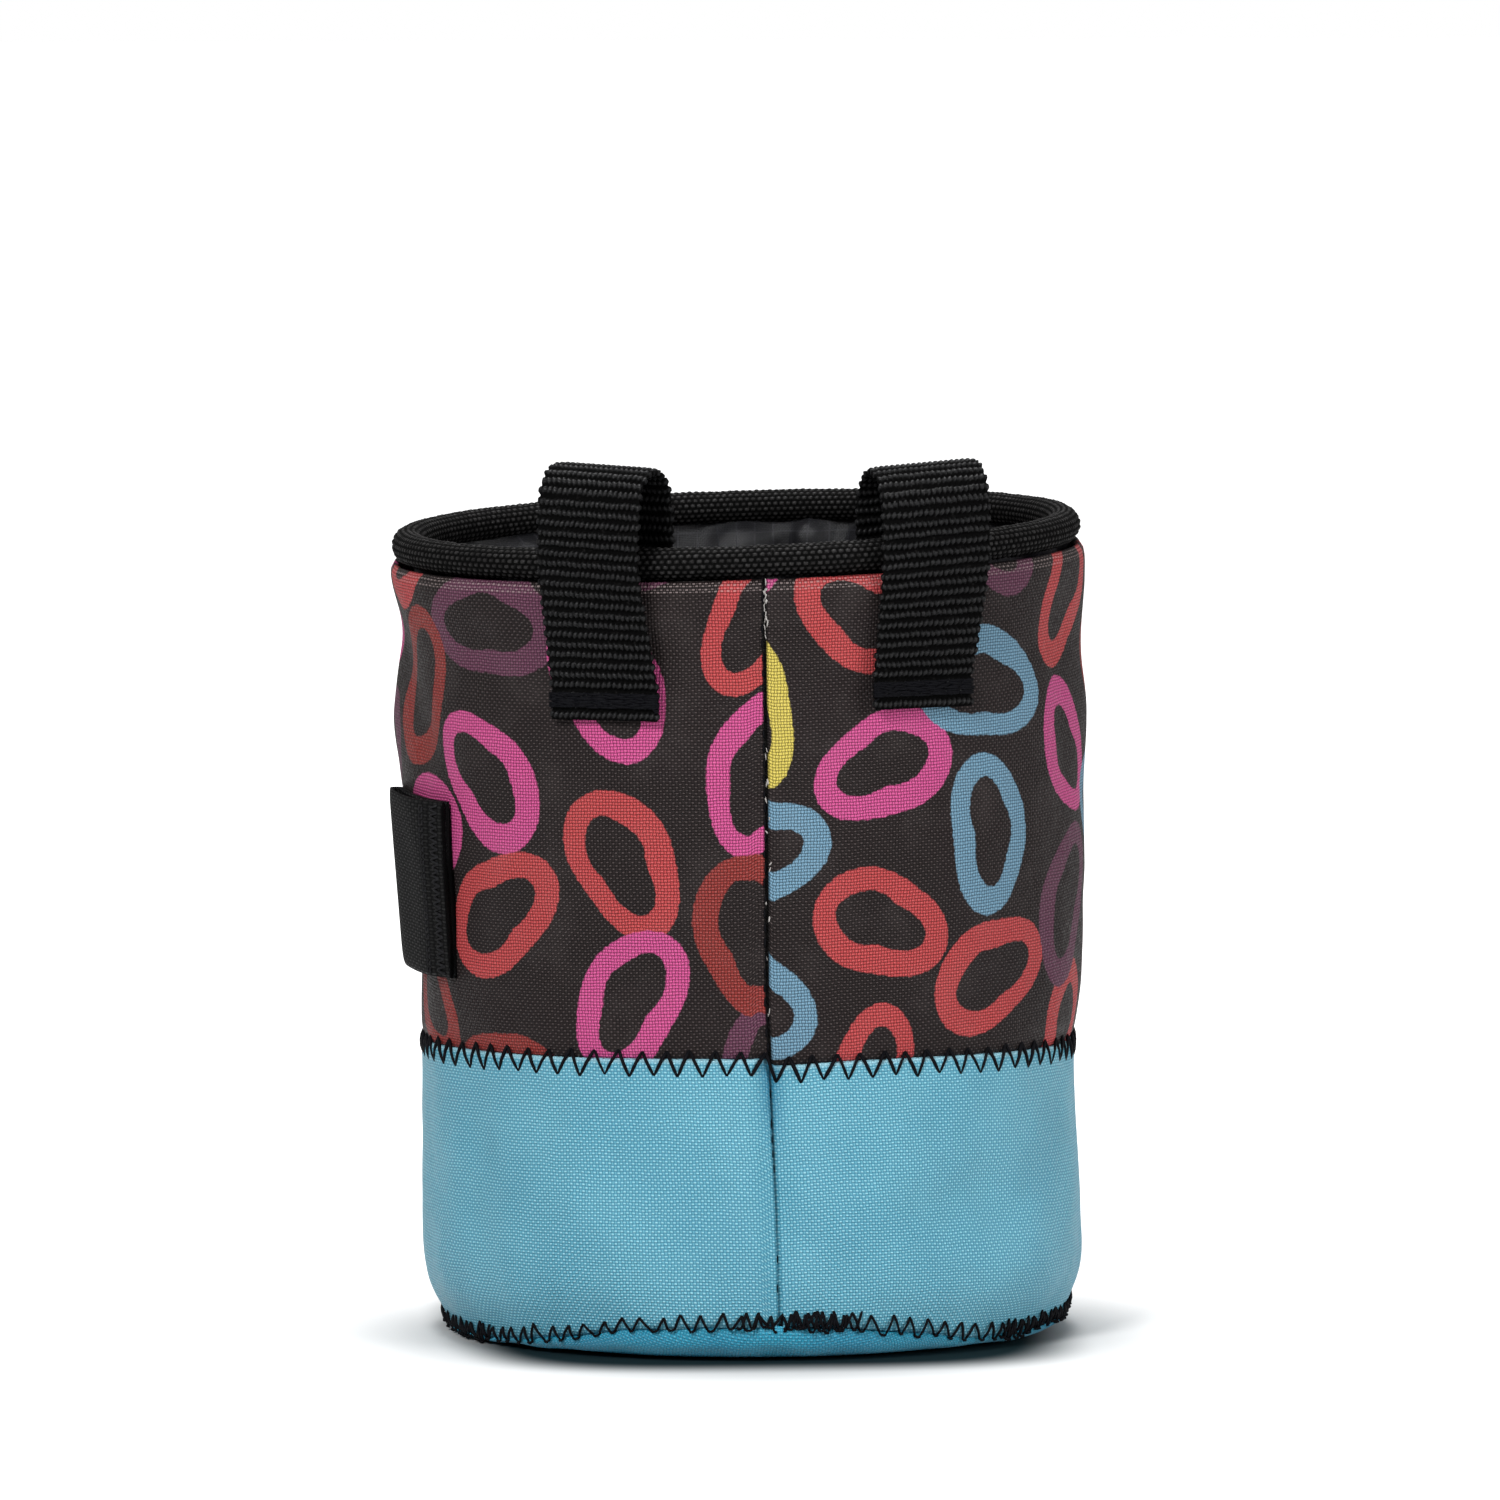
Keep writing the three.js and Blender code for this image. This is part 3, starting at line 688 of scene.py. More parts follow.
def turquoise_canvas(name, dark, light, folded):
    """Plain canvas between two colours, with painted shade in its weave's gaps and a painted highlight
    on its yarns' crowns. With folded, the highlight is stronger, its top edge gets a painted highlight
    where the fold catches the light, and the seam's pucker and line get painted shade.
    """
    material, tree, shader, place = cloth_material(name, 0.45, specular=0.5)
    weave = woven(tree, place, CANVAS_YARNS, 0.5)
    colour = mixed(tree, ranged(tree, speckle(tree, place, 0.07, 3.0)[0], 0.35, 0.65), dark, light)
    # Painted shade: the colour darkens in the weave's gaps.
    colour = mixed(tree, times(tree, weave["Gap"], 0.8), colour, CANVAS_GAP_SHADE)
    # Painted highlight on the yarns' crowns, stronger on the band.
    crown = times(tree, ranged(tree, weave["Height"], 0.55, 0.9), 0.5 if folded else 0.15)
    colour = mixed(tree, crown, colour, CANVAS_CROWN_HIGHLIGHT)
    if folded:
        from_top = parts(tree, place)[1]
        # Painted highlight along the folded top edge, where it catches the light.
        pale = times(tree, ranged(tree, from_top, -0.8, -0.3), 0.45)
        colour = mixed(tree, pale, colour, CANVAS_CROWN_HIGHLIGHT)
        # Painted shade in the pucker below the band's edge.
        pucker = times(tree, seam_shade(tree, place, 0.3, 2.6), ranged(tree, from_top, -16.0, 0.0))
        colour = mixed(tree, times(tree, pucker, 0.7), colour, PUCKER_SHADE)
        # Painted shade along the seam's line.
        line = times(tree, seam_shade(tree, place, 0.1, 0.3), ranged(tree, from_top, -34.0, -4.0, 0.2, 0.75))
        colour = mixed(tree, line, colour, SEAM_LINE_SHADE)
    height = times(tree, weave["Height"], CANVAS_RELIEF)
    shine = calc(tree, "MULTIPLY_ADD", weave["Yarn"], 0.2, 0.36)
    dress(tree, shader, colour, height, shine)
    return material


BAND_CANVAS = turquoise_canvas("turquoise_canvas", linear(88, 160, 180), linear(98, 169, 188), folded=True)
# The base is the same cloth as the band. Its darker, deeper colours are painted shade, because it faces down,
# away from the lights.
SHADED_BASE_CANVAS = turquoise_canvas("turquoise_base_shaded", linear(8, 134, 166), linear(20, 146, 176), folded=False)

# %% [markdown]
# The lining is ripstop: a fine dark weave with a grid of thicker yarns every three millimetres,
# which stand out as thin raised lines.

# %% Ripstop material
RIPSTOP_GRID = 2.9
RIPSTOP_YARNS = (0.24, 0.24, 1)


def ripstop():
    material, tree, shader, place = cloth_material("ripstop", 0.38, specular=0.3)
    weave = woven(tree, place, RIPSTOP_YARNS, 0.1)
    share = vector(tree, "FRACTION", vector(tree, "DIVIDE", place, (RIPSTOP_GRID, RIPSTOP_GRID, 1)))
    raised = calc(tree, "MAXIMUM", *(ranged(tree, side, 0.0, 0.13, 1.0, 0.0) for side in parts(tree, share)[:2]))
    colour = mixed(tree, times(tree, raised, 0.5), linear(21, 21, 24), linear(48, 48, 53))
    height = calc(tree, "MULTIPLY_ADD", weave["Height"], 0.05, times(tree, raised, 0.05))
    dress(tree, shader, colour, height)
    return material


RIPSTOP = ripstop()

# %% [markdown]
# The tape, the webbing and the elastic are black yarns whose weave is real relief on their meshes.
# Their materials add the fibres of the yarns: noise drawn out along them, in the colour and as a
# fine bump. Dark cloth is read by its highlights, so the yarns differ in gloss. Their colour also has
# painted shade in the relief's gaps and a painted highlight on its crowns.

# %% Fibre group and black yarn materials
def make_fibres():
    group, given, taken = new_group(
        "fibres",
        {"Place": (VECTOR, (0, 0, 0)), "Drawn": (VECTOR, (1, 1, 1))},
        {"Height": NUMBER, "Dust": NUMBER},
    )
    drawn = vector(group, "MULTIPLY", given["Place"], given["Drawn"])
    group.links.new(speckle(group, drawn, 1.0, 2.0)[0], taken["Height"])
    dust = speckle(group, given["Place"], 0.9, 5.0, 0.7)[0]
    group.links.new(ranged(group, dust, 0.56, 0.78), taken["Dust"])
    return group


FIBRES = make_fibres()


DUST = linear(90, 88, 88)


def black_yarn(name, gap_shade, crown, drawn, fuzz=0.05, rows=None):
    """Black yarn whose modelled relief is in the crown attribute, which gives painted shade in its gaps,
    a painted highlight on top, and real gloss on top.
    Where the rows of a finer weave are given, in millimetres, they are added as a bump."""
    material, tree, shader, place = cloth_material(name, 0.6, specular=0.04)
    fibres = placed(tree, FIBRES, {"Place": place, "Drawn": drawn})
    top = node(tree, "Attribute", attribute_name="crown").outputs["Fac"]
    uneven = calc(tree, "MULTIPLY_ADD", fibres["Height"], 0.9, -0.45)
    top = ranged(tree, calc(tree, "ADD", top, uneven), 0.3, 1.0)
    height = times(tree, fibres["Height"], fuzz)
    if rows:
        weave = woven(tree, place, rows, 0.4)
        top = times(tree, top, weave["Height"])
        height = calc(tree, "MULTIPLY_ADD", weave["Height"], 0.12, height)
    # Painted shade in the relief's gaps and a painted highlight on its crowns, by the crown attribute.
    colour = mixed(tree, top, gap_shade, crown)
    colour = mixed(tree, times(tree, fibres["Dust"], 0.12), colour, DUST)
    dress(tree, shader, colour, height, calc(tree, "MULTIPLY_ADD", top, -0.3, 0.8))
    tree.links.new(times(tree, calc(tree, "POWER", top, 2.0), 0.25), shader.inputs["Coat Weight"])
    shader.inputs["Coat Roughness"].default_value = 0.38
    return material


# Each yarn's first colour is painted shade for its gaps, and its second a painted highlight for its crowns.
TAPE_YARN = black_yarn("tape_yarn", linear(4, 4, 4), linear(38, 37, 37), (4, 9, 1), fuzz=0.08)
WEBBING_YARN = black_yarn("webbing_yarn", linear(2, 2, 2), linear(24, 24, 25), (4, 9, 1), fuzz=0.08)
ELASTIC_YARN = black_yarn("elastic_yarn", linear(5, 5, 6), linear(36, 36, 36), (9, 3, 1), rows=(1.1, 0.45, 1))


PLY = 2400  # swells of a thread's twist in a metre


def thread(name, dark, light):
    """Twisted thread between two colours. Its noise is at the piece's own coordinates."""
    material, tree, shader, _ = cloth_material(name, 0.6, specular=0.04)
    ply = vector(tree, "MULTIPLY", node(tree, "TexCoord").outputs["Object"], (PLY, PLY, PLY))
    twist = speckle(tree, ply, 1.0, 2.0)[0]
    dress(tree, shader, mixed(tree, twist, dark, light), times(tree, twist, 0.06))
    return material


BLACK_THREAD = thread("black_thread", linear(6, 6, 8), linear(18, 18, 22))
SOFT_BLACK_THREAD = thread("soft_black_thread", linear(10, 10, 11), linear(44, 44, 46))
PALE_THREAD = thread("pale_thread", linear(120, 116, 114), linear(196, 192, 188))

# %% [markdown]
# ## The two canvas walls
#
# The printed cloth is a tube from the rim down to the band. Its top rolls in under the rim and its
# foot is tucked in behind the band's folded edge, which is what makes the thin shadow there. The
# band below is plain canvas, gathered a little at its foot by the seam of the base. A cloth
# simulation could drape both, but cloth that is stretched between a hoop and a base has little to
# fall, so its folds are modelled where they are wanted.

# %% Printed cloth
CANVAS = 0.9 * MM
COLUMNS = 480  # of the walls' grids, round the bag


def leaning(turn, low, high, up):
    """A point's angle and height: up from low to high, on columns that follow the leaning seam."""
    turn = turn + seam_turn(low(turn) + up * (high(turn) - low(turn)))
    return turn, low(turn) + up * (high(turn) - low(turn))


def printed_foot(turn):
    """The printed cloth's lower edge, behind the band's."""
    return cloth_edge(turn) - 0.6 * MM


def printed_place(across, up):
    turn, z = leaning(turn_of(across), printed_foot, cloth_top, up)
    foot, top = printed_foot(turn), cloth_top(turn)
    roll = -0.9 * MM * fade(top - z, 0.8 * MM) - 1.1 * MM * fade(z - foot, 1.1 * MM)
    out = ripples(turn, z) * np.clip((top - z) / (6 * MM), 0, 1) + seam_valley(turn, z) + roll
    return round_the_bag(turn, wall_radius(turn, z) + out, z)


def printed_cloth_place(across, up):
    turn = turn_of(across)
    return cloth_place(turn, (1 - up) * (cloth_top(turn) - cloth_edge(turn)))


printed = finished(
    grid_form(COLUMNS, 76, printed_place, printed_cloth_place),
    "printed_cloth", PRINTED_CANVAS, ["printed_body"],
)
thicken(printed, CANVAS)

# %% Plain band
def band_place(across, up):
    turn, z = leaning(turn_of(across), seam_low, cloth_edge, up)
    foot, top = seam_low(turn), cloth_edge(turn)
    edge = -0.3 * MM * fade(top - z, 0.3 * MM) - 0.5 * MM * fade(z - foot, 0.9 * MM)
    gather = 0.55 * MM * soft_noise(round_the_bag(turn, 14 * MM, z * 0.2), 2.2 * MM, 5)
    gather *= fade(z - foot, 5 * MM)
    out = ripples(turn, z) + seam_valley(turn, z) + edge + gather
    return round_the_bag(turn, wall_radius(turn, z) + out, z)


def band_cloth_place(across, up):
    turn = turn_of(across)
    return cloth_place(turn, (1 - up) * (cloth_edge(turn) - seam_low(turn)))


band = finished(
    grid_form(COLUMNS, 52, band_place, band_cloth_place),
    "turquoise_band", BAND_CANVAS, ["plain_band"],
)
thicken(band, CANVAS)

# %% [markdown]
# ## The base
#
# The base is a round of the same canvas. It curls up from the floor to its seam, and the seam's
# stitches pucker its edge. Its grid is a disc: one side of the grid is the seam and the other side
# shrinks to the middle of the floor.

# %% Base
BASE_CURL = 8 * MM  # how far in from its seam the base comes to lie on the floor
BASE_CANVAS = 1.4 * MM
BASE_LIFT = 0.15 * MM  # of its lowest points, which keeps them from sharing the floor's plane
BASE_CROWDING = 1.6  # above 1, the grid's rings stand closer towards the seam


def base_height(inset, seam):
    curl = np.clip(inset / BASE_CURL, 0, 1)
    return (seam - BASE_LIFT) * (1 - np.sqrt(1 - (1 - curl) ** 2.4)) + BASE_LIFT


def base_place(across, inwards):
    turn = turn_of(across)
    seam = seam_low(turn) - 0.1 * MM
    rim = wall_radius(turn, seam) - 0.45 * MM + tuck(turn, seam)
    inset = inwards**BASE_CROWDING * rim
    pucker = 0.9 * MM * soft_noise(round_the_bag(turn, 14 * MM, inset * 0.2), 2.0 * MM, 9)
    pucker *= bell(inset - 1.6 * MM, 2.2 * MM)
    z = np.maximum(base_height(inset, seam) + pucker * 0.5, BASE_LIFT)
    bulge = 0.6 * MM * bell(inset - 1.2 * MM, 1.4 * MM)
    return round_the_bag(turn, rim - inset + bulge + pucker * 0.4, z)


BASE_STEPS = np.linspace(0, 47 * MM, 500)
BASE_RISES = np.diff(base_height(BASE_STEPS, 4 * MM))
BASE_ARCS = np.concatenate([[0], np.cumsum(np.hypot(np.diff(BASE_STEPS), BASE_RISES))])


def base_cloth_place(across, inwards):
    """The disc's place on flat cloth, where the curl up to the seam has its true length."""
    turn = turn_of(across)
    far = (BASE_ARCS[-1] - np.interp(inwards**BASE_CROWDING * BASE_STEPS[-1], BASE_STEPS, BASE_ARCS)) / MM
    return np.stack([far * np.sin(turn), -far * np.cos(turn)], axis=-1)


base_form = grid_form(COLUMNS // 2, 40, base_place, base_cloth_place)
bmesh.ops.recalc_face_normals(base_form, faces=base_form.faces)
base = finished(base_form, "canvas_base", SHADED_BASE_CANVAS, ["base_panel"])
thicken(base, BASE_CANVAS)

# %% [markdown]
# ## The lining
#
# A thin ripstop cup hangs inside. It is cut a little too wide, as linings are, so it lies in soft
# upright and slanting wrinkles against the walls, and its floor lies on the base.

# %% Lining
LINING_INSET = 2.5 * MM  # from the outer face of the canvas to the lining's inner face
RIPSTOP_CLOTH = 0.35 * MM
LINING_FLOOR = 2.9 * MM
LINING_CORNER = 7 * MM
LINING_CLOTH = (44.8, 163)  # millimetres of cloth for a radian round the bag, and for the whole way down


def lining_place(across, down):
    turn = turn_of(across)
    top = cloth_top(turn) + 1.5 * MM
    depth = top - LINING_FLOOR
    walk = down * 1.5
    z = top - depth * np.clip(walk, 0, 1)
    inset = LINING_INSET + np.clip(walk - 1, 0, None) * 2 * (wall_radius(turn, z) - LINING_INSET)
    corner = np.clip(1 - (z - LINING_FLOOR) / LINING_CORNER, 0, 1)
    rounded = LINING_CORNER * (1 - np.sqrt(1 - corner**2))
    radius = np.minimum(wall_radius(turn, z) - LINING_INSET - rounded, wall_radius(turn, z) - inset)
    slanted = round_the_bag(turn, MEAN_RADIUS, z * 0.45 + 9 * MM * np.sin(turn * 2))
    wrinkle = 5.5 * MM * soft_noise(slanted, 8 * MM, 21) + 2.2 * MM * soft_noise(slanted, 3.6 * MM, 22)
    inwards = np.clip(wrinkle + 1.8 * MM, 0, None) * np.clip((top - z) / (3 * MM), 0, 1)
    inwards *= np.clip(2.2 - walk * 1.6, 0, 1)
    return round_the_bag(turn, np.maximum(radius - inwards, 0), z)


def lining_cloth_place(across, down):
    return np.stack([turn_of(across) * LINING_CLOTH[0], -down * LINING_CLOTH[1]], axis=-1)


lining_form = grid_form(COLUMNS // 2, 150, lining_place, lining_cloth_place)
bmesh.ops.recalc_face_normals(lining_form, faces=lining_form.faces)
lining = finished(lining_form, "ripstop_lining", RIPSTOP, ["lining"])
thicken(lining, RIPSTOP_CLOTH)

# %% [markdown]
# ## The rim
#
# A stiff hoop is wrapped in a coarse black tape. The tape's weave is so coarse that it shows in the
# outline, so it is modelled: the grid round the tube has four columns and four rows for each yarn
# crossing, and each crossing is pushed out as a bead.

# %% Rim
RIM_TUBE = 4.8 * MM
TAPE_CROSSINGS = (276, 18)  # round the bag and round the tube, both even so that the weave closes
BEAD_GRID = 4  # columns and rows of the grid for each crossing
TAPE_BEAD = 0.34 * MM
TAPE_LENGTH = 286  # millimetres round the bag

rim_tree = tree_of("rim_binding")
rim_reach = np.array([[reach(rim_tree, turn, rim_top(turn) - RIM_TUBE / 2) for turn in turns]])
rim_reach = averaged(rim_reach, FACET_TURNS, axis=1)[0]


def rim_middle(turn):
    """The radius of the tube's middle line."""
    return np.interp(turn, turns, rim_reach, period=TAU) - RIM_TUBE / 2


def bead_of(across, up, crossings):
    """The height of a coarse plain weave, from 0 in the gaps to 1 on its crowns, in a brick pattern."""
    row = np.floor(up * crossings[1])
    across = across * crossings[0] + 0.5 * (row % 2)
    side, level = np.sin(math.pi * (across % 1)), np.sin(math.pi * (up * crossings[1] % 1))
    chance = np.sin(row * 12.99 + np.floor(across) % crossings[0] * 78.23) * 437.58 % 1
    return np.sqrt(side * level) * (0.72 + 0.28 * chance)


def tape_crown(across, around):
    """The beads of the tape. The tiny shift keeps the seam's two columns in the same crossing."""
    return bead_of(across + 1e-9, around + 1e-9, TAPE_CROSSINGS)


def rim_place(across, around):
    turn, roll = TAU * across, TAU * around
    swell = RIM_TUBE / 2 - TAPE_BEAD * (1 - tape_crown(across, around))
    swell = swell + 0.12 * MM * soft_noise(round_the_bag(turn, 46 * MM, 0 * turn), 5 * MM, 31)
    radius = rim_middle(turn) + swell * np.cos(roll)
    return round_the_bag(turn, radius, rim_top(turn) - RIM_TUBE / 2 + swell * np.sin(roll))


def tape_place(across, around):
    return np.stack([across * TAPE_LENGTH, around * TAU * RIM_TUBE / 2 / MM], axis=-1)


rim_grid = (TAPE_CROSSINGS[0] * BEAD_GRID, TAPE_CROSSINGS[1] * BEAD_GRID)
rim_form = grid_form(*rim_grid, rim_place, tape_place, tape_crown)
finished(rim_form, "rim_tape", TAPE_YARN, ["rim_binding"])

# %% [markdown]
# ## The belt loops
#
# Each loop is a length of 16 mm webbing. The frame's strap has crosswise edges of exactly that
# width, two at each of its sections, so those edges give back the strap's middle line and its turn.
# A smooth curve through them carries a fine grid with the webbing's ribs, each a row of short thick
# yarns with a deep groove on both sides.

# %% Middle line of a strap in the frame
SAME_LENGTH = 0.003 * MM


def strap_sections(node_name, width, thickness):
    """The middle, the crosswise direction and the facing of each section of a frame strap."""
    form = merged(node_name)
    crosswise = [edge for edge in form.edges if abs(edge.calc_length() - width) < SAME_LENGTH]
    owner = {point: edge for edge in crosswise for point in edge.verts}
    found = {}
    for edge in crosswise:
        first = edge.verts[0]
        for rung in first.link_edges:
            other = rung.other_vert(first)
            partner = owner.get(other)
            if partner not in (None, edge) and abs(rung.calc_length() - thickness) < SAME_LENGTH:
                across, out = edge.other_vert(first).co - first.co, first.co - other.co
                found[frozenset((*edge.verts, *partner.verts))] = across.normalized(), out.normalized()

    def beside(corners):
        touched = {edge.other_vert(point) for point in corners for edge in point.link_edges}
        return [other for other in found if other is not corners and other & touched]

    ends = [corners for corners in found if len(beside(corners)) == 1]
    line = [max(ends, key=lambda corners: sum(point.co.xy.length for point in corners))]
    while following := [corners for corners in beside(line[-1]) if corners not in line]:
        line.append(following[0])

    sections = []
    across, face = found[line[0]][0], Vector((*next(iter(line[0])).co.xy, 0))
    for corners in line:
        side, out = found[corners]
        across = side if side.dot(across) > 0 else -side
        face = out if out.dot(face) > 0 else -out
        sections.append((sum((point.co for point in corners), Vector()) / 4, across, face))
    form.free()
    return sections


def smooth_through(values, lengths, at):
    """A smooth curve through values at given lengths, read at other lengths."""
    slopes = np.gradient(values, lengths, axis=0)
    i = np.clip(np.searchsorted(lengths, at, side="right") - 1, 0, len(lengths) - 2)
    span = (lengths[i + 1] - lengths[i])[:, None]
    t = ((at - lengths[i])[:, None]) / span
    rise = t * t * (3 - 2 * t)
    ease = t * (1 - t) * ((1 - t) * slopes[i] - t * slopes[i + 1]) * span
    return values[i] + rise * (values[i + 1] - values[i]) + ease


def closed(form):
    """Closes a form's open ends and turns its faces outwards."""
    bmesh.ops.holes_fill(form, edges=[edge for edge in form.edges if edge.is_boundary])
    bmesh.ops.recalc_face_normals(form, faces=form.faces)
    return form


# %% Ribbed webbing
WEBBING_WIDTH, WEBBING = 16 * MM, 1.4 * MM
RIB = 1.42 * MM
FACE_SHARE = 0.46  # how much of the way round a strap's section is one of its faces


def strap_round(share):
    """Places across and through a strap, each from -1 to 1, on the way round its section."""
    corners = [0, FACE_SHARE, 0.5, 0.5 + FACE_SHARE, 1]
    across, through = np.interp(share, corners, [1, -1, -1, 1, 1]), np.interp(share, corners, [1, 1, -1, -1, 1])
    return across, through * (1 - 0.45 * np.abs(across) ** 14)


def strap_curve(sections):
    """The length of a strap's middle line, and a function that gives points at lengths along it."""
    middle, side, out = (np.array([list(section[k]) for section in sections]) for k in range(3))
    lengths = np.concatenate([[0], np.cumsum(np.linalg.norm(np.diff(middle, axis=0), axis=1))])

    def spot(at, across, lift):
        on_line, sides, outs = (smooth_through(values, lengths, at) for values in (middle, side, out))
        return on_line + sides * across[:, None] + outs * lift[:, None]

    return lengths[-1], spot


def strap_form(sections, width, thickness, columns, rows, relief, relief_depth):
    """A strap with a relief(along, across) in metres that lowers both its faces."""
    length, spot = strap_curve(sections)

    def place(along, around):
        across, through = strap_round(around)
        lowered = relief(along * length, across * width / 2)
        return spot(along * length, across * (width / 2 - 0.5 * lowered), through * (thickness / 2 - lowered))

    def cloth(along, around):
        across, through = strap_round(around)
        turned = across * width / 2 + np.where(through < 0, width, 0)
        return np.stack([turned / MM, along * length / MM], axis=-1)

    def crown(along, around):
        across, _ = strap_round(around)
        return 1 - relief(along * length, across * width / 2) / relief_depth

    print("  strap length", round(length / MM, 1), "mm")
    return closed(grid_form(columns, rows, place, cloth, crown))


WEBBING_GROOVE = 0.55 * MM
TOOTH = 0.8 * MM  # from yarn to yarn across a rib


def webbing_relief(along, across):
    """How far the webbing's faces are lowered: deep grooves between ribs of short upright yarns."""
    number = np.floor(along / RIB)
    waver = 0.06 * MM * np.sin(across / MM * 1.3 + number * 2.1) + 0.15 * MM * np.sin(TAU * across / TOOTH)
    rib = np.clip((np.abs(np.sin(math.pi * (along + waver) / RIB)) - 0.35) / 0.5, 0, 1)
    yarn = np.abs(np.cos(math.pi * (across / TOOTH + number * 0.37)))
    return WEBBING_GROOVE * (1 - rib * (0.3 + 0.7 * yarn**0.7))


STRAP_GRID = (300, 150)  # along the strap and round its section
strap_lines = {side: strap_sections("belt_loop_" + side, WEBBING_WIDTH, WEBBING) for side in ("left", "right")}
for side, sections in strap_lines.items():
    form = strap_form(sections, WEBBING_WIDTH, WEBBING, *STRAP_GRID, webbing_relief, WEBBING_GROOVE)
    finished(form, "webbing_" + side, WEBBING_YARN, ["belt_loop_" + side])

# %% [markdown]
# ## The elastic
#
# A wide flat elastic is folded round the left side, with both its ends sewn down at the front and
# its fold open at the back. Its inner layer lies on the printed cloth. A ray from outside meets its
# outer layer first, so rays give that layer, and a half circle joins the two.

# %% Elastic
ELASTIC = 0.9 * MM
elastic_low, elastic_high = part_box("brush_loop")
elastic_tree = tree_of("brush_loop")
elastic_middle = (elastic_low.z + elastic_high.z) / 2
elastic_turns = [turn for turn in turns if not math.isnan(reach(elastic_tree, turn, elastic_middle))]
SEWN_TURN, FOLD_TURN = elastic_turns[-1], elastic_turns[0]
print("elastic from", round(math.degrees(SEWN_TURN)), "to", round(math.degrees(FOLD_TURN)), "degrees")
ELASTIC_GAP = 0.1 * MM  # between the printed cloth and the inner layer
FACE_STEPS, FOLD_STEPS = 60, 12
ELASTIC_LEVELS = 26
SEWN_MARGIN = 2.2 * MM  # how far the sewn ends reach beyond the frame's
PRESSED = 4 * MM  # from the sewn edge, where the stitches press the outer layer down
FRONT_TURN = SEWN_TURN + SEWN_MARGIN / MEAN_RADIUS


def elastic_outer(turn, z):
    """The radius of the outer layer's middle. Rays give it, and the stitches press its sewn edge."""
    sewn = wall_radius(turn, np.full_like(turn, z)) + ELASTIC_GAP + ELASTIC * 1.3
    met = np.array([reach(elastic_tree, one, z) for one in turn]) - ELASTIC / 2
    known = ~np.isnan(met)
    met = np.interp(turn, turn[known], met[known]) if known.any() else sewn
    free = np.clip((FRONT_TURN - turn) * MEAN_RADIUS / PRESSED - 0.3, 0, 1)
    return sewn + (met - sewn) * free * free * (3 - 2 * free)


def elastic_line(z):
    """The middle line of the elastic at a height, as its angles and radii, from hem to hem."""
    back = FOLD_TURN + ELASTIC / MEAN_RADIUS
    run = np.linspace(FRONT_TURN, back, FACE_STEPS)
    inner = wall_radius(run, np.full_like(run, z)) + ELASTIC_GAP + ELASTIC / 2
    run_out = np.linspace(back, FRONT_TURN, FACE_STEPS)
    outer = elastic_outer(run_out, z)
    half = (outer[0] - inner[-1]) / 2
    bend = np.radians(np.linspace(-90, 90, FOLD_STEPS + 1)[1:-1])
    fold_turn = back - half * np.cos(bend) / MEAN_RADIUS
    fold_radius = inner[-1] + half * (1 + np.sin(bend))
    return np.concatenate([run, fold_turn, run_out]), np.concatenate([inner, fold_radius, outer])


def elastic_sections():
    """The elastic's middle line at each level of its width."""
    lines = []
    for z in np.linspace(elastic_low.z, elastic_high.z, ELASTIC_LEVELS):
        turn, radius = elastic_line(z)
        lines.append(round_the_bag(turn, radius, np.full_like(turn, z)))
    return np.array(lines)


elastic_lines = elastic_sections()


def elastic_place(along, around):
    """A point of the elastic: along its length, and round its section of two faces and two edges."""
    up, through = strap_round(around)
    last_level, last_step = ELASTIC_LEVELS - 1, elastic_lines.shape[1] - 1
    up, at = (1 - up) / 2 * last_level, along * last_step
    low, left = np.minimum(up.astype(int), last_level - 1), np.minimum(at.astype(int), last_step - 1)
    rise, run = (up - low)[:, None], (at - left)[:, None]

    def corner(i, j):
        return elastic_lines[low + i, left + j]

    below = corner(0, 0) * (1 - run) + corner(0, 1) * run
    above = corner(1, 0) * (1 - run) + corner(1, 1) * run
    middle = below * (1 - rise) + above * rise
    forward = corner(0, 1) - corner(0, 0)
    out = np.stack([-forward[:, 1], forward[:, 0], 0 * forward[:, 0]], axis=-1)
    out /= np.linalg.norm(out, axis=1)[:, None]
    return middle + out * (ELASTIC / 2 * through)[:, None]


def elastic_cloth(along, around):
    up, through = strap_round(around)
    return np.stack([along * 55, (up + 1) * 12.5 + np.where(through < 0, 30, 0)], axis=-1)


def elastic_crown(along, around):
    """The elastic's two hems are paler than its faces."""
    up, _ = strap_round(around)
    return 0.75 + 0.25 * (np.abs(up) > 0.97)


elastic_form = closed(grid_form(131, 132, elastic_place, elastic_cloth, elastic_crown))
finished(elastic_form, "brush_elastic", ELASTIC_YARN, ["brush_loop"])

# %% [markdown]
# ## Stitches
#
# Every stitch is one short arched length of thread with both ends in the cloth. One is modelled from
# a cylinder, and copies of it are stretched and turned from each needle hole to the next. The band's
# zig-zag straddles its folded edge, and the base's is closer and less even.

# %% One stitch
THREAD = 0.5 * MM


def stitch_form(sides=6, parts=4):
    """A thread of unit length along X that arches over Z, and of unit thickness."""
    form = bmesh.new()
    along_x = Matrix.Rotation(math.pi / 2, 4, "Y")
    bmesh.ops.create_cone(form, cap_ends=True, segments=sides, radius1=0.5, radius2=0.5, depth=1, matrix=along_x)
    for cut in np.linspace(-0.5, 0.5, parts + 1)[1:-1]:
        bmesh.ops.bisect_plane(form, geom=form.verts[:] + form.edges[:] + form.faces[:],
                               plane_co=(cut, 0, 0), plane_no=(1, 0, 0))
    for point in form.verts:
        end = (2 * point.co.x) ** 2
        slimmer = 1 - 0.15 * end**2
        point.co.y *= slimmer
        point.co.z = point.co.z * slimmer + 0.6 * (1 - end) - 0.15
    return meshed(form, "stitch")


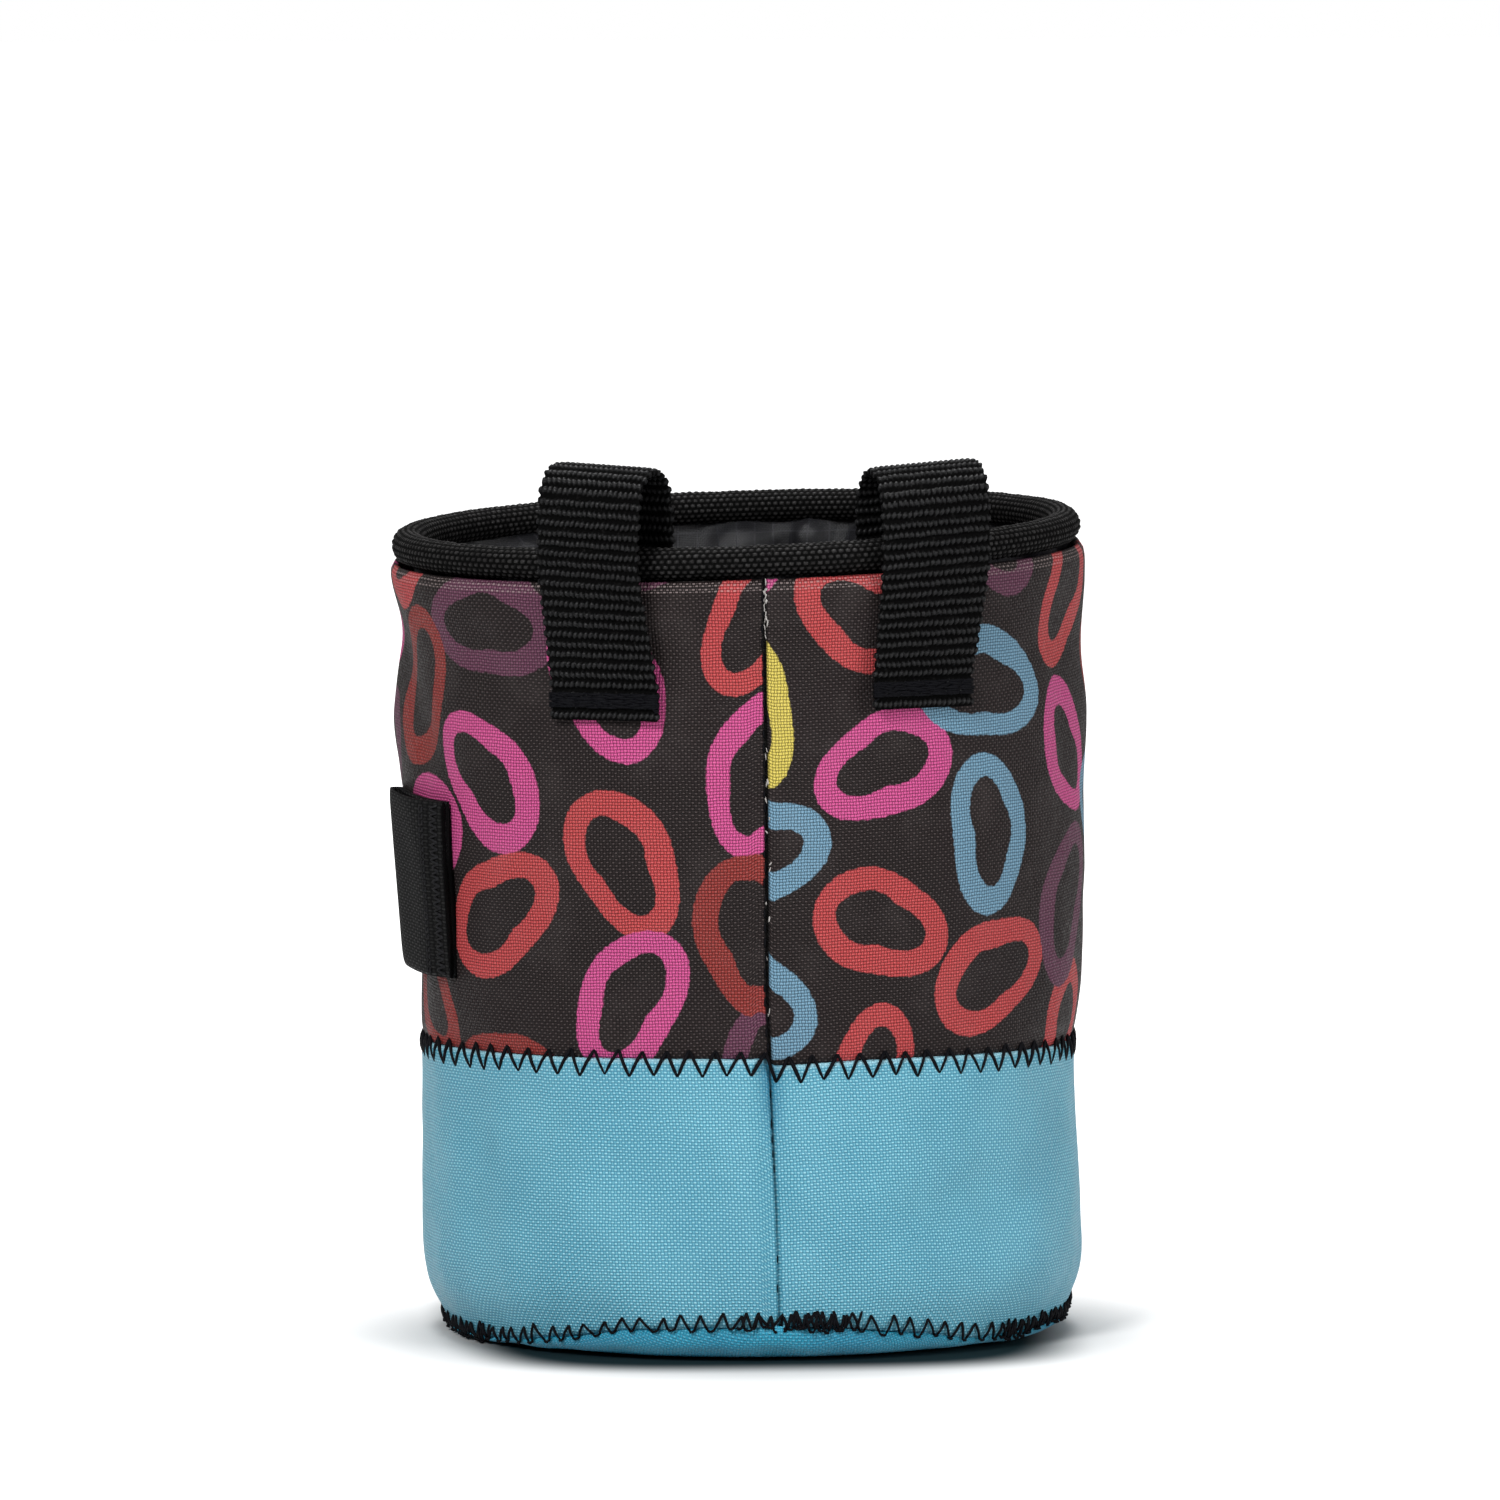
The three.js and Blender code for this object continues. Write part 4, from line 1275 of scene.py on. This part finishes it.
STITCH = stitch_form()


def add_stitch(form, start, end, out, thickness=THREAD):
    """One stitch from start to end on a surface that faces out."""
    run = end - start
    side = out.cross(run).normalized()
    up = run.cross(side).normalized()
    turned = Matrix((run, side * thickness, up * thickness)).transposed().to_4x4()
    first = len(form.verts)
    form.from_mesh(STITCH)
    form.verts.ensure_lookup_table()
    turned.translation = (start + end) / 2
    bmesh.ops.transform(form, matrix=turned, verts=form.verts[first:])


def on_wall(turn, z, out=0.0):
    """A point on the outer cloth, with its fine folds."""
    turn, z = np.array([turn]), np.array([z])
    lift = seam_valley(turn, z) + ripples(turn, z) + out
    return Vector(round_the_bag(turn, wall_radius(turn, z) + lift, z)[0])


def facing(turn):
    return -inward(turn)


def facing_at(point):
    return facing(math.atan2(point.x, -point.y))


LUCK = np.random.default_rng(7)


def luck(spread):
    return LUCK.uniform(-spread, spread)


# %% Zig-zag of the band
ZIGZAG_PITCH, ZIGZAG_ABOVE, ZIGZAG_BELOW = 3.7 * MM, 1.1 * MM, 2.5 * MM


def band_zigzag():
    form = bmesh.new()
    count = round(TAU * MEAN_RADIUS / ZIGZAG_PITCH)
    holes = []
    for k in range(2 * count):
        turn = TAU * (k + 0.4) / (2 * count) + luck(0.22 * MM) / MEAN_RADIUS
        edge = float(cloth_edge(turn))
        above, out = (-ZIGZAG_BELOW, -0.08 * MM) if k % 2 else (ZIGZAG_ABOVE, -0.3 * MM)
        holes.append((turn, edge + above + luck(0.22 * MM), out))
    for k, (turn, z, out) in enumerate(holes):
        following = holes[(k + 1) % len(holes)]
        apart = 0.02 * MM / MEAN_RADIUS
        start, end = on_wall(turn + apart, z, out), on_wall(following[0] - apart, following[1], following[2])
        add_stitch(form, start, end, facing(turn), THREAD * (1 + luck(0.15)))
    return form


finished(band_zigzag(), "band_zigzag", BLACK_THREAD)

# %% Zig-zag of the base
W_PITCH, W_HEIGHT = 3.3 * MM, 2.5 * MM
TURN_WIDTH, TURN_RISE = 0.9 * MM, 0.3 * MM  # the rounded lower turn of the base's zig-zag
W_DRIFT = 0.8 * MM  # how far above the seam the zig-zag's middle is
DENSE_TURNS = ((-0.14, 0.26), (0.0, 0.18), (-1.35, -1.12), (0.85, 1.4), (2.9, 3.3))


def base_zigzag():
    """Rows of zig-zag with pointed tops and rounded lower turns, doubled where the seam was sewn twice."""
    form = bmesh.new()

    def row(start, stop, slack, pitch):
        turn, last = start, None
        while turn < stop:
            half = TURN_WIDTH / 2 * (1 + luck(0.4)) / MEAN_RADIUS
            foot = float(seam_low(turn)) + W_DRIFT
            low = foot - W_HEIGHT / 2 + luck(slack)
            top_turn = turn + pitch / 2 * (1 + luck(0.2)) / MEAN_RADIUS
            path = (
                (turn - half, low + TURN_RISE, 0.08 * MM),
                (turn, low, 0.05 * MM),
                (turn + half, low + TURN_RISE, 0.08 * MM),
                (top_turn, foot + W_HEIGHT / 2 + luck(slack), 0.02 * MM),
            )
            for one, z, out in path:
                here = on_wall(one, z, out)
                if last is not None:
                    add_stitch(form, last, here, facing(one), THREAD * 0.8)
                last = here
            turn += pitch * (1 + luck(0.22)) / MEAN_RADIUS

    row(0, TAU, 0.28 * MM, W_PITCH)
    for start, stop in DENSE_TURNS:
        row(start, stop, 0.45 * MM, W_PITCH * 0.6)
    return form


finished(base_zigzag(), "base_zigzag", BLACK_THREAD)

# %% Upright seam
SEAM_STITCH = 2.1 * MM


def upright_seam(low, high, thickness, beside, shown=1.0):
    """A row of stitches, of which a share is shown. The others have sunk into the cloth."""
    form = bmesh.new()
    z = low
    while z + SEAM_STITCH < high:
        if LUCK.uniform() <= shown:
            turn = float(seam_turn(z)) + (beside + luck(0.12 * MM)) / MEAN_RADIUS
            start, end = on_wall(turn, z + 0.3 * MM), on_wall(turn, z + SEAM_STITCH * 0.7 + luck(0.2 * MM))
            add_stitch(form, start, end, facing(turn), thickness)
        z += SEAM_STITCH
    return form


edge_at_seam, top_at_seam = float(cloth_edge(-0.04)), float(cloth_top(0))
print_seam = upright_seam(edge_at_seam + 1.5 * MM, top_at_seam - 1.5 * MM, 0.3 * MM, -0.3 * MM)
finished(print_seam, "seam_stitches_print", BLACK_THREAD)
band_seam = upright_seam(5.5 * MM, edge_at_seam - 3 * MM, 0.22 * MM, -0.2 * MM, shown=0.45)
finished(band_seam, "seam_stitches_band", BLACK_THREAD)

# %% [markdown]
# The cut edges of the print fray where the seam is worn: many short pale fibres near the rim, and a
# few farther down.

# %% Frayed fibres of the seam
def seam_frays():
    form = bmesh.new()
    near_rim = LUCK.uniform(top_at_seam - 9 * MM, top_at_seam - 0.6 * MM, 20)
    farther = LUCK.uniform(edge_at_seam + 2 * MM, top_at_seam - 10 * MM, 16)
    for z in (*near_rim, *farther):
        turn = float(seam_turn(z)) + (0.15 * MM + luck(0.3 * MM)) / MEAN_RADIUS
        length = LUCK.uniform(0.3, 1.0) * MM
        aside = luck(0.3 * MM) / MEAN_RADIUS
        start, end = on_wall(turn, z, 0.02 * MM), on_wall(turn + aside, z + length, 0.05 * MM)
        add_stitch(form, start, end, facing(turn), LUCK.uniform(0.12, 0.22) * MM)
    return form


finished(seam_frays(), "seam_frays", PALE_THREAD)

# %% [markdown]
# Bar tacks hold the front legs of the belt loops: two dense rows of level thread that sink into the
# webbing, with a few loose ends at their corners.

# %% Bar tacks of the belt loops
TACK_ROWS = (2.3 * MM, 3.3 * MM)  # from the end of the webbing
TACK_HALF = 0.4 * MM
TACK_THREADS = 4


def bar_tacks(sections):
    form = bmesh.new()
    _, spot = strap_curve(sections)

    def on_strap(at, across, lift):
        return Vector(spot(np.array([at]), np.array([across]), np.array([lift]))[0])

    lift = WEBBING / 2 - 0.12 * MM
    for middle in TACK_ROWS:
        for k in range(TACK_THREADS):
            at = middle + TACK_HALF * (2 * k / (TACK_THREADS - 1) - 1)
            across = -WEBBING_WIDTH / 2 - luck(0.2 * MM)
            while across < WEBBING_WIDTH / 2:
                to = across + LUCK.uniform(1.5, 3.2) * MM
                start = on_strap(at + luck(0.1 * MM), across, lift)
                end = on_strap(at + luck(0.1 * MM), min(to, WEBBING_WIDTH / 2 + 0.1 * MM), lift)
                add_stitch(form, start, end, facing_at(start), 0.34 * MM)
                across = to - 0.2 * MM
    for way in (-1, 1):
        for _ in range(5):
            start = on_strap(TACK_ROWS[0] + luck(1.4 * MM), way * WEBBING_WIDTH / 2, 0.2 * MM)
            end = start + Vector((way * LUCK.uniform(0.3, 1.1), 0, luck(1.0))) * MM
            add_stitch(form, start, end, facing_at(start), 0.2 * MM)
    return form


for side, sections in strap_lines.items():
    finished(bar_tacks(sections), "bar_tacks_" + side, BLACK_THREAD)

# %% [markdown]
# The elastic's sewn edge has a close zig-zag and, beside it, two straight rows.

# %% Stitches of the elastic
STRAIGHT_ROWS = (4.3 * MM, 5.0 * MM)  # from the elastic's front edge
ZIGZAG_NEAR, ZIGZAG_FAR, ZIGZAG_STEP = 1.2 * MM, 2.8 * MM, 0.52 * MM


def on_elastic(from_front, z, lift=0.0):
    turn = FRONT_TURN - from_front / MEAN_RADIUS
    radius = elastic_outer(np.array([FOLD_TURN + 0.1, turn]), z)[1] + ELASTIC / 2 + lift
    return Vector(round_the_bag(turn, radius, z))


def elastic_stitches():
    form = bmesh.new()
    low, high = elastic_low.z + 0.5 * MM, elastic_high.z - 0.8 * MM
    for from_front in STRAIGHT_ROWS:
        z = low
        while z < high:
            start, end = (on_elastic(from_front, at, -0.06 * MM) for at in (z, z + 0.75 * MM))
            add_stitch(form, start, end, facing(FRONT_TURN), 0.3 * MM)
            z += 0.95 * MM
    z, near = low, True
    last = on_elastic(ZIGZAG_NEAR, z)
    while z < high:
        z += ZIGZAG_STEP
        near = not near
        here = on_elastic((ZIGZAG_NEAR if near else ZIGZAG_FAR) + luck(0.15 * MM), z, -0.05 * MM)
        add_stitch(form, last, here, facing(FRONT_TURN), 0.36 * MM)
        last = here
    return form


finished(elastic_stitches(), "elastic_stitches", SOFT_BLACK_THREAD)

# %% [markdown]
# ## Floor, light and camera
#
# The bag stands on a plain white floor under big soft lights. The camera looks from a little above
# and a little to the left, from far away, as the photograph was taken. In the photograph the floor
# is blown out to white close to the bag, with a dark strip where they touch. So, to the camera only,
# this floor has a painted glow that fades out near the bag, and a painted contact shadow in a
# rounded square under it.

# %% Floor
# The second colour is a painted contact shadow under the bag.
FLOOR_GREY, FLOOR_PAINTED_SHADOW = (0.6, 0.6, 0.6, 1), (0.012, 0.024, 0.028, 1)


def white_floor():
    form = bmesh.new()
    bmesh.ops.create_grid(form, x_segments=1, y_segments=1, size=6)
    mesh = meshed(form, "floor")
    material = bpy.data.materials.new("floor_white")
    material.use_nodes = True
    tree = material.node_tree
    shader = tree.nodes["Principled BSDF"]
    shader.inputs["Emission Color"].default_value = (1, 1, 1, 1)
    shader.inputs["Roughness"].default_value = 0.9
    shader.inputs["Specular IOR Level"].default_value = 0.0
    place = node(tree, "TexCoord").outputs["Object"]
    far = size_of(tree, place)
    # A painted glow, seen by the camera only, that fades out near the bag.
    painted_glow = calc(tree, "ADD", ranged(tree, far, 0.044, 0.078, 0.0, 0.5), ranged(tree, far, 0.078, 1.0, 0.0, 0.5))
    seen = node(tree, "LightPath").outputs["Is Camera Ray"]
    scaled = vector(tree, "MULTIPLY", place, (1.16, 1, 0))
    near = calc(tree, "SQRT", size_of(tree, vector(tree, "MULTIPLY", scaled, scaled)))
    # A painted contact shadow, seen by the camera only, in a rounded square under the bag.
    painted_contact_shadow = times(tree, ranged(tree, near, 0.042, 0.055, 1.0, 0.0), seen)
    tree.links.new(mixed(tree, painted_contact_shadow, FLOOR_GREY, FLOOR_PAINTED_SHADOW), shader.inputs["Base Color"])
    painted_glow = times(tree, painted_glow, calc(tree, "SUBTRACT", 1.0, painted_contact_shadow))
    tree.links.new(times(tree, painted_glow, seen), shader.inputs["Emission Strength"])
    mesh.materials.append(material)
    floor = bpy.data.objects.new("floor", mesh)
    bpy.context.collection.objects.link(floor)


white_floor()

# %% Lights
SUBJECT = Vector((0, 0, 60 * MM))


def soft_light(name, place, size, power):
    lamp = bpy.data.lights.new(name, "AREA")
    lamp.shape = "DISK"
    lamp.size = size
    lamp.energy = power
    light = bpy.data.objects.new(name, lamp)
    light.location = place
    light.rotation_euler = (SUBJECT - light.location).to_track_quat("-Z", "Y").to_euler()
    bpy.context.collection.objects.link(light)


soft_light("key_light", Vector((-0.6, -0.95, 0.8)), 0.4, 15)
soft_light("fill_light", Vector((0.9, -0.8, 0.4)), 0.5, 8)
soft_light("top_light", Vector((0, 0.25, 1.2)), 0.7, 16)

world = bpy.data.worlds.new("studio")
world.use_nodes = True
bpy.context.scene.world = world
sky = world.node_tree
around_light = fill(sky, sky.nodes["Background"], {"Color": (1, 1, 1, 1), "Strength": 0.26}).outputs[0]
seen_white = node(sky, "Background", {"Color": (1, 1, 1, 1)}).outputs[0]
to_camera = node(sky, "LightPath").outputs["Is Camera Ray"]
chosen = node(sky, "MixShader", {0: to_camera, 1: around_light, 2: seen_white}).outputs[0]
sky.links.new(chosen, sky.nodes["World Output"].inputs["Surface"])

# %% Camera
CAMERA_TURN, CAMERA_RISE, CAMERA_FAR = math.radians(-5.4), math.radians(5.3), 2.0
VIEW_WIDTH = 1500 / 7.0 * MM  # the photograph is 1500 pixels wide, at 7 to the millimetre
AIM_RIGHT, AIM_UP = -0.57 * MM, 22.7 * MM

lens = bpy.data.cameras.new("camera")
camera = bpy.data.objects.new("camera", lens)
bpy.context.collection.objects.link(camera)
level = math.cos(CAMERA_RISE)
back = Vector((math.sin(CAMERA_TURN) * level, -math.cos(CAMERA_TURN) * level, math.sin(CAMERA_RISE)))
right = Vector((math.cos(CAMERA_TURN), math.sin(CAMERA_TURN), 0))
aim = SUBJECT + right * AIM_RIGHT + right.cross(-back) * AIM_UP
camera.location = SUBJECT + back * CAMERA_FAR
camera.rotation_euler = (aim - camera.location).to_track_quat("-Z", "Y").to_euler()
lens.sensor_width = 36
lens.lens = lens.sensor_width * CAMERA_FAR / VIEW_WIDTH
lens.clip_start, lens.clip_end = 0.1, 40
bpy.context.scene.camera = camera
bpy.context.scene.view_settings.view_transform = "Standard"
print("lens", round(lens.lens), "mm at", CAMERA_FAR, "m")

# %% [markdown]
# ## The end
#
# The dressed bag has to stay in the frame's box, but for the little that cloth stands proud. The
# frame's box is printed.

# %% Frame box
print("frame", [round(v / MM, 1) for v in (*frame_low, *frame_high)])
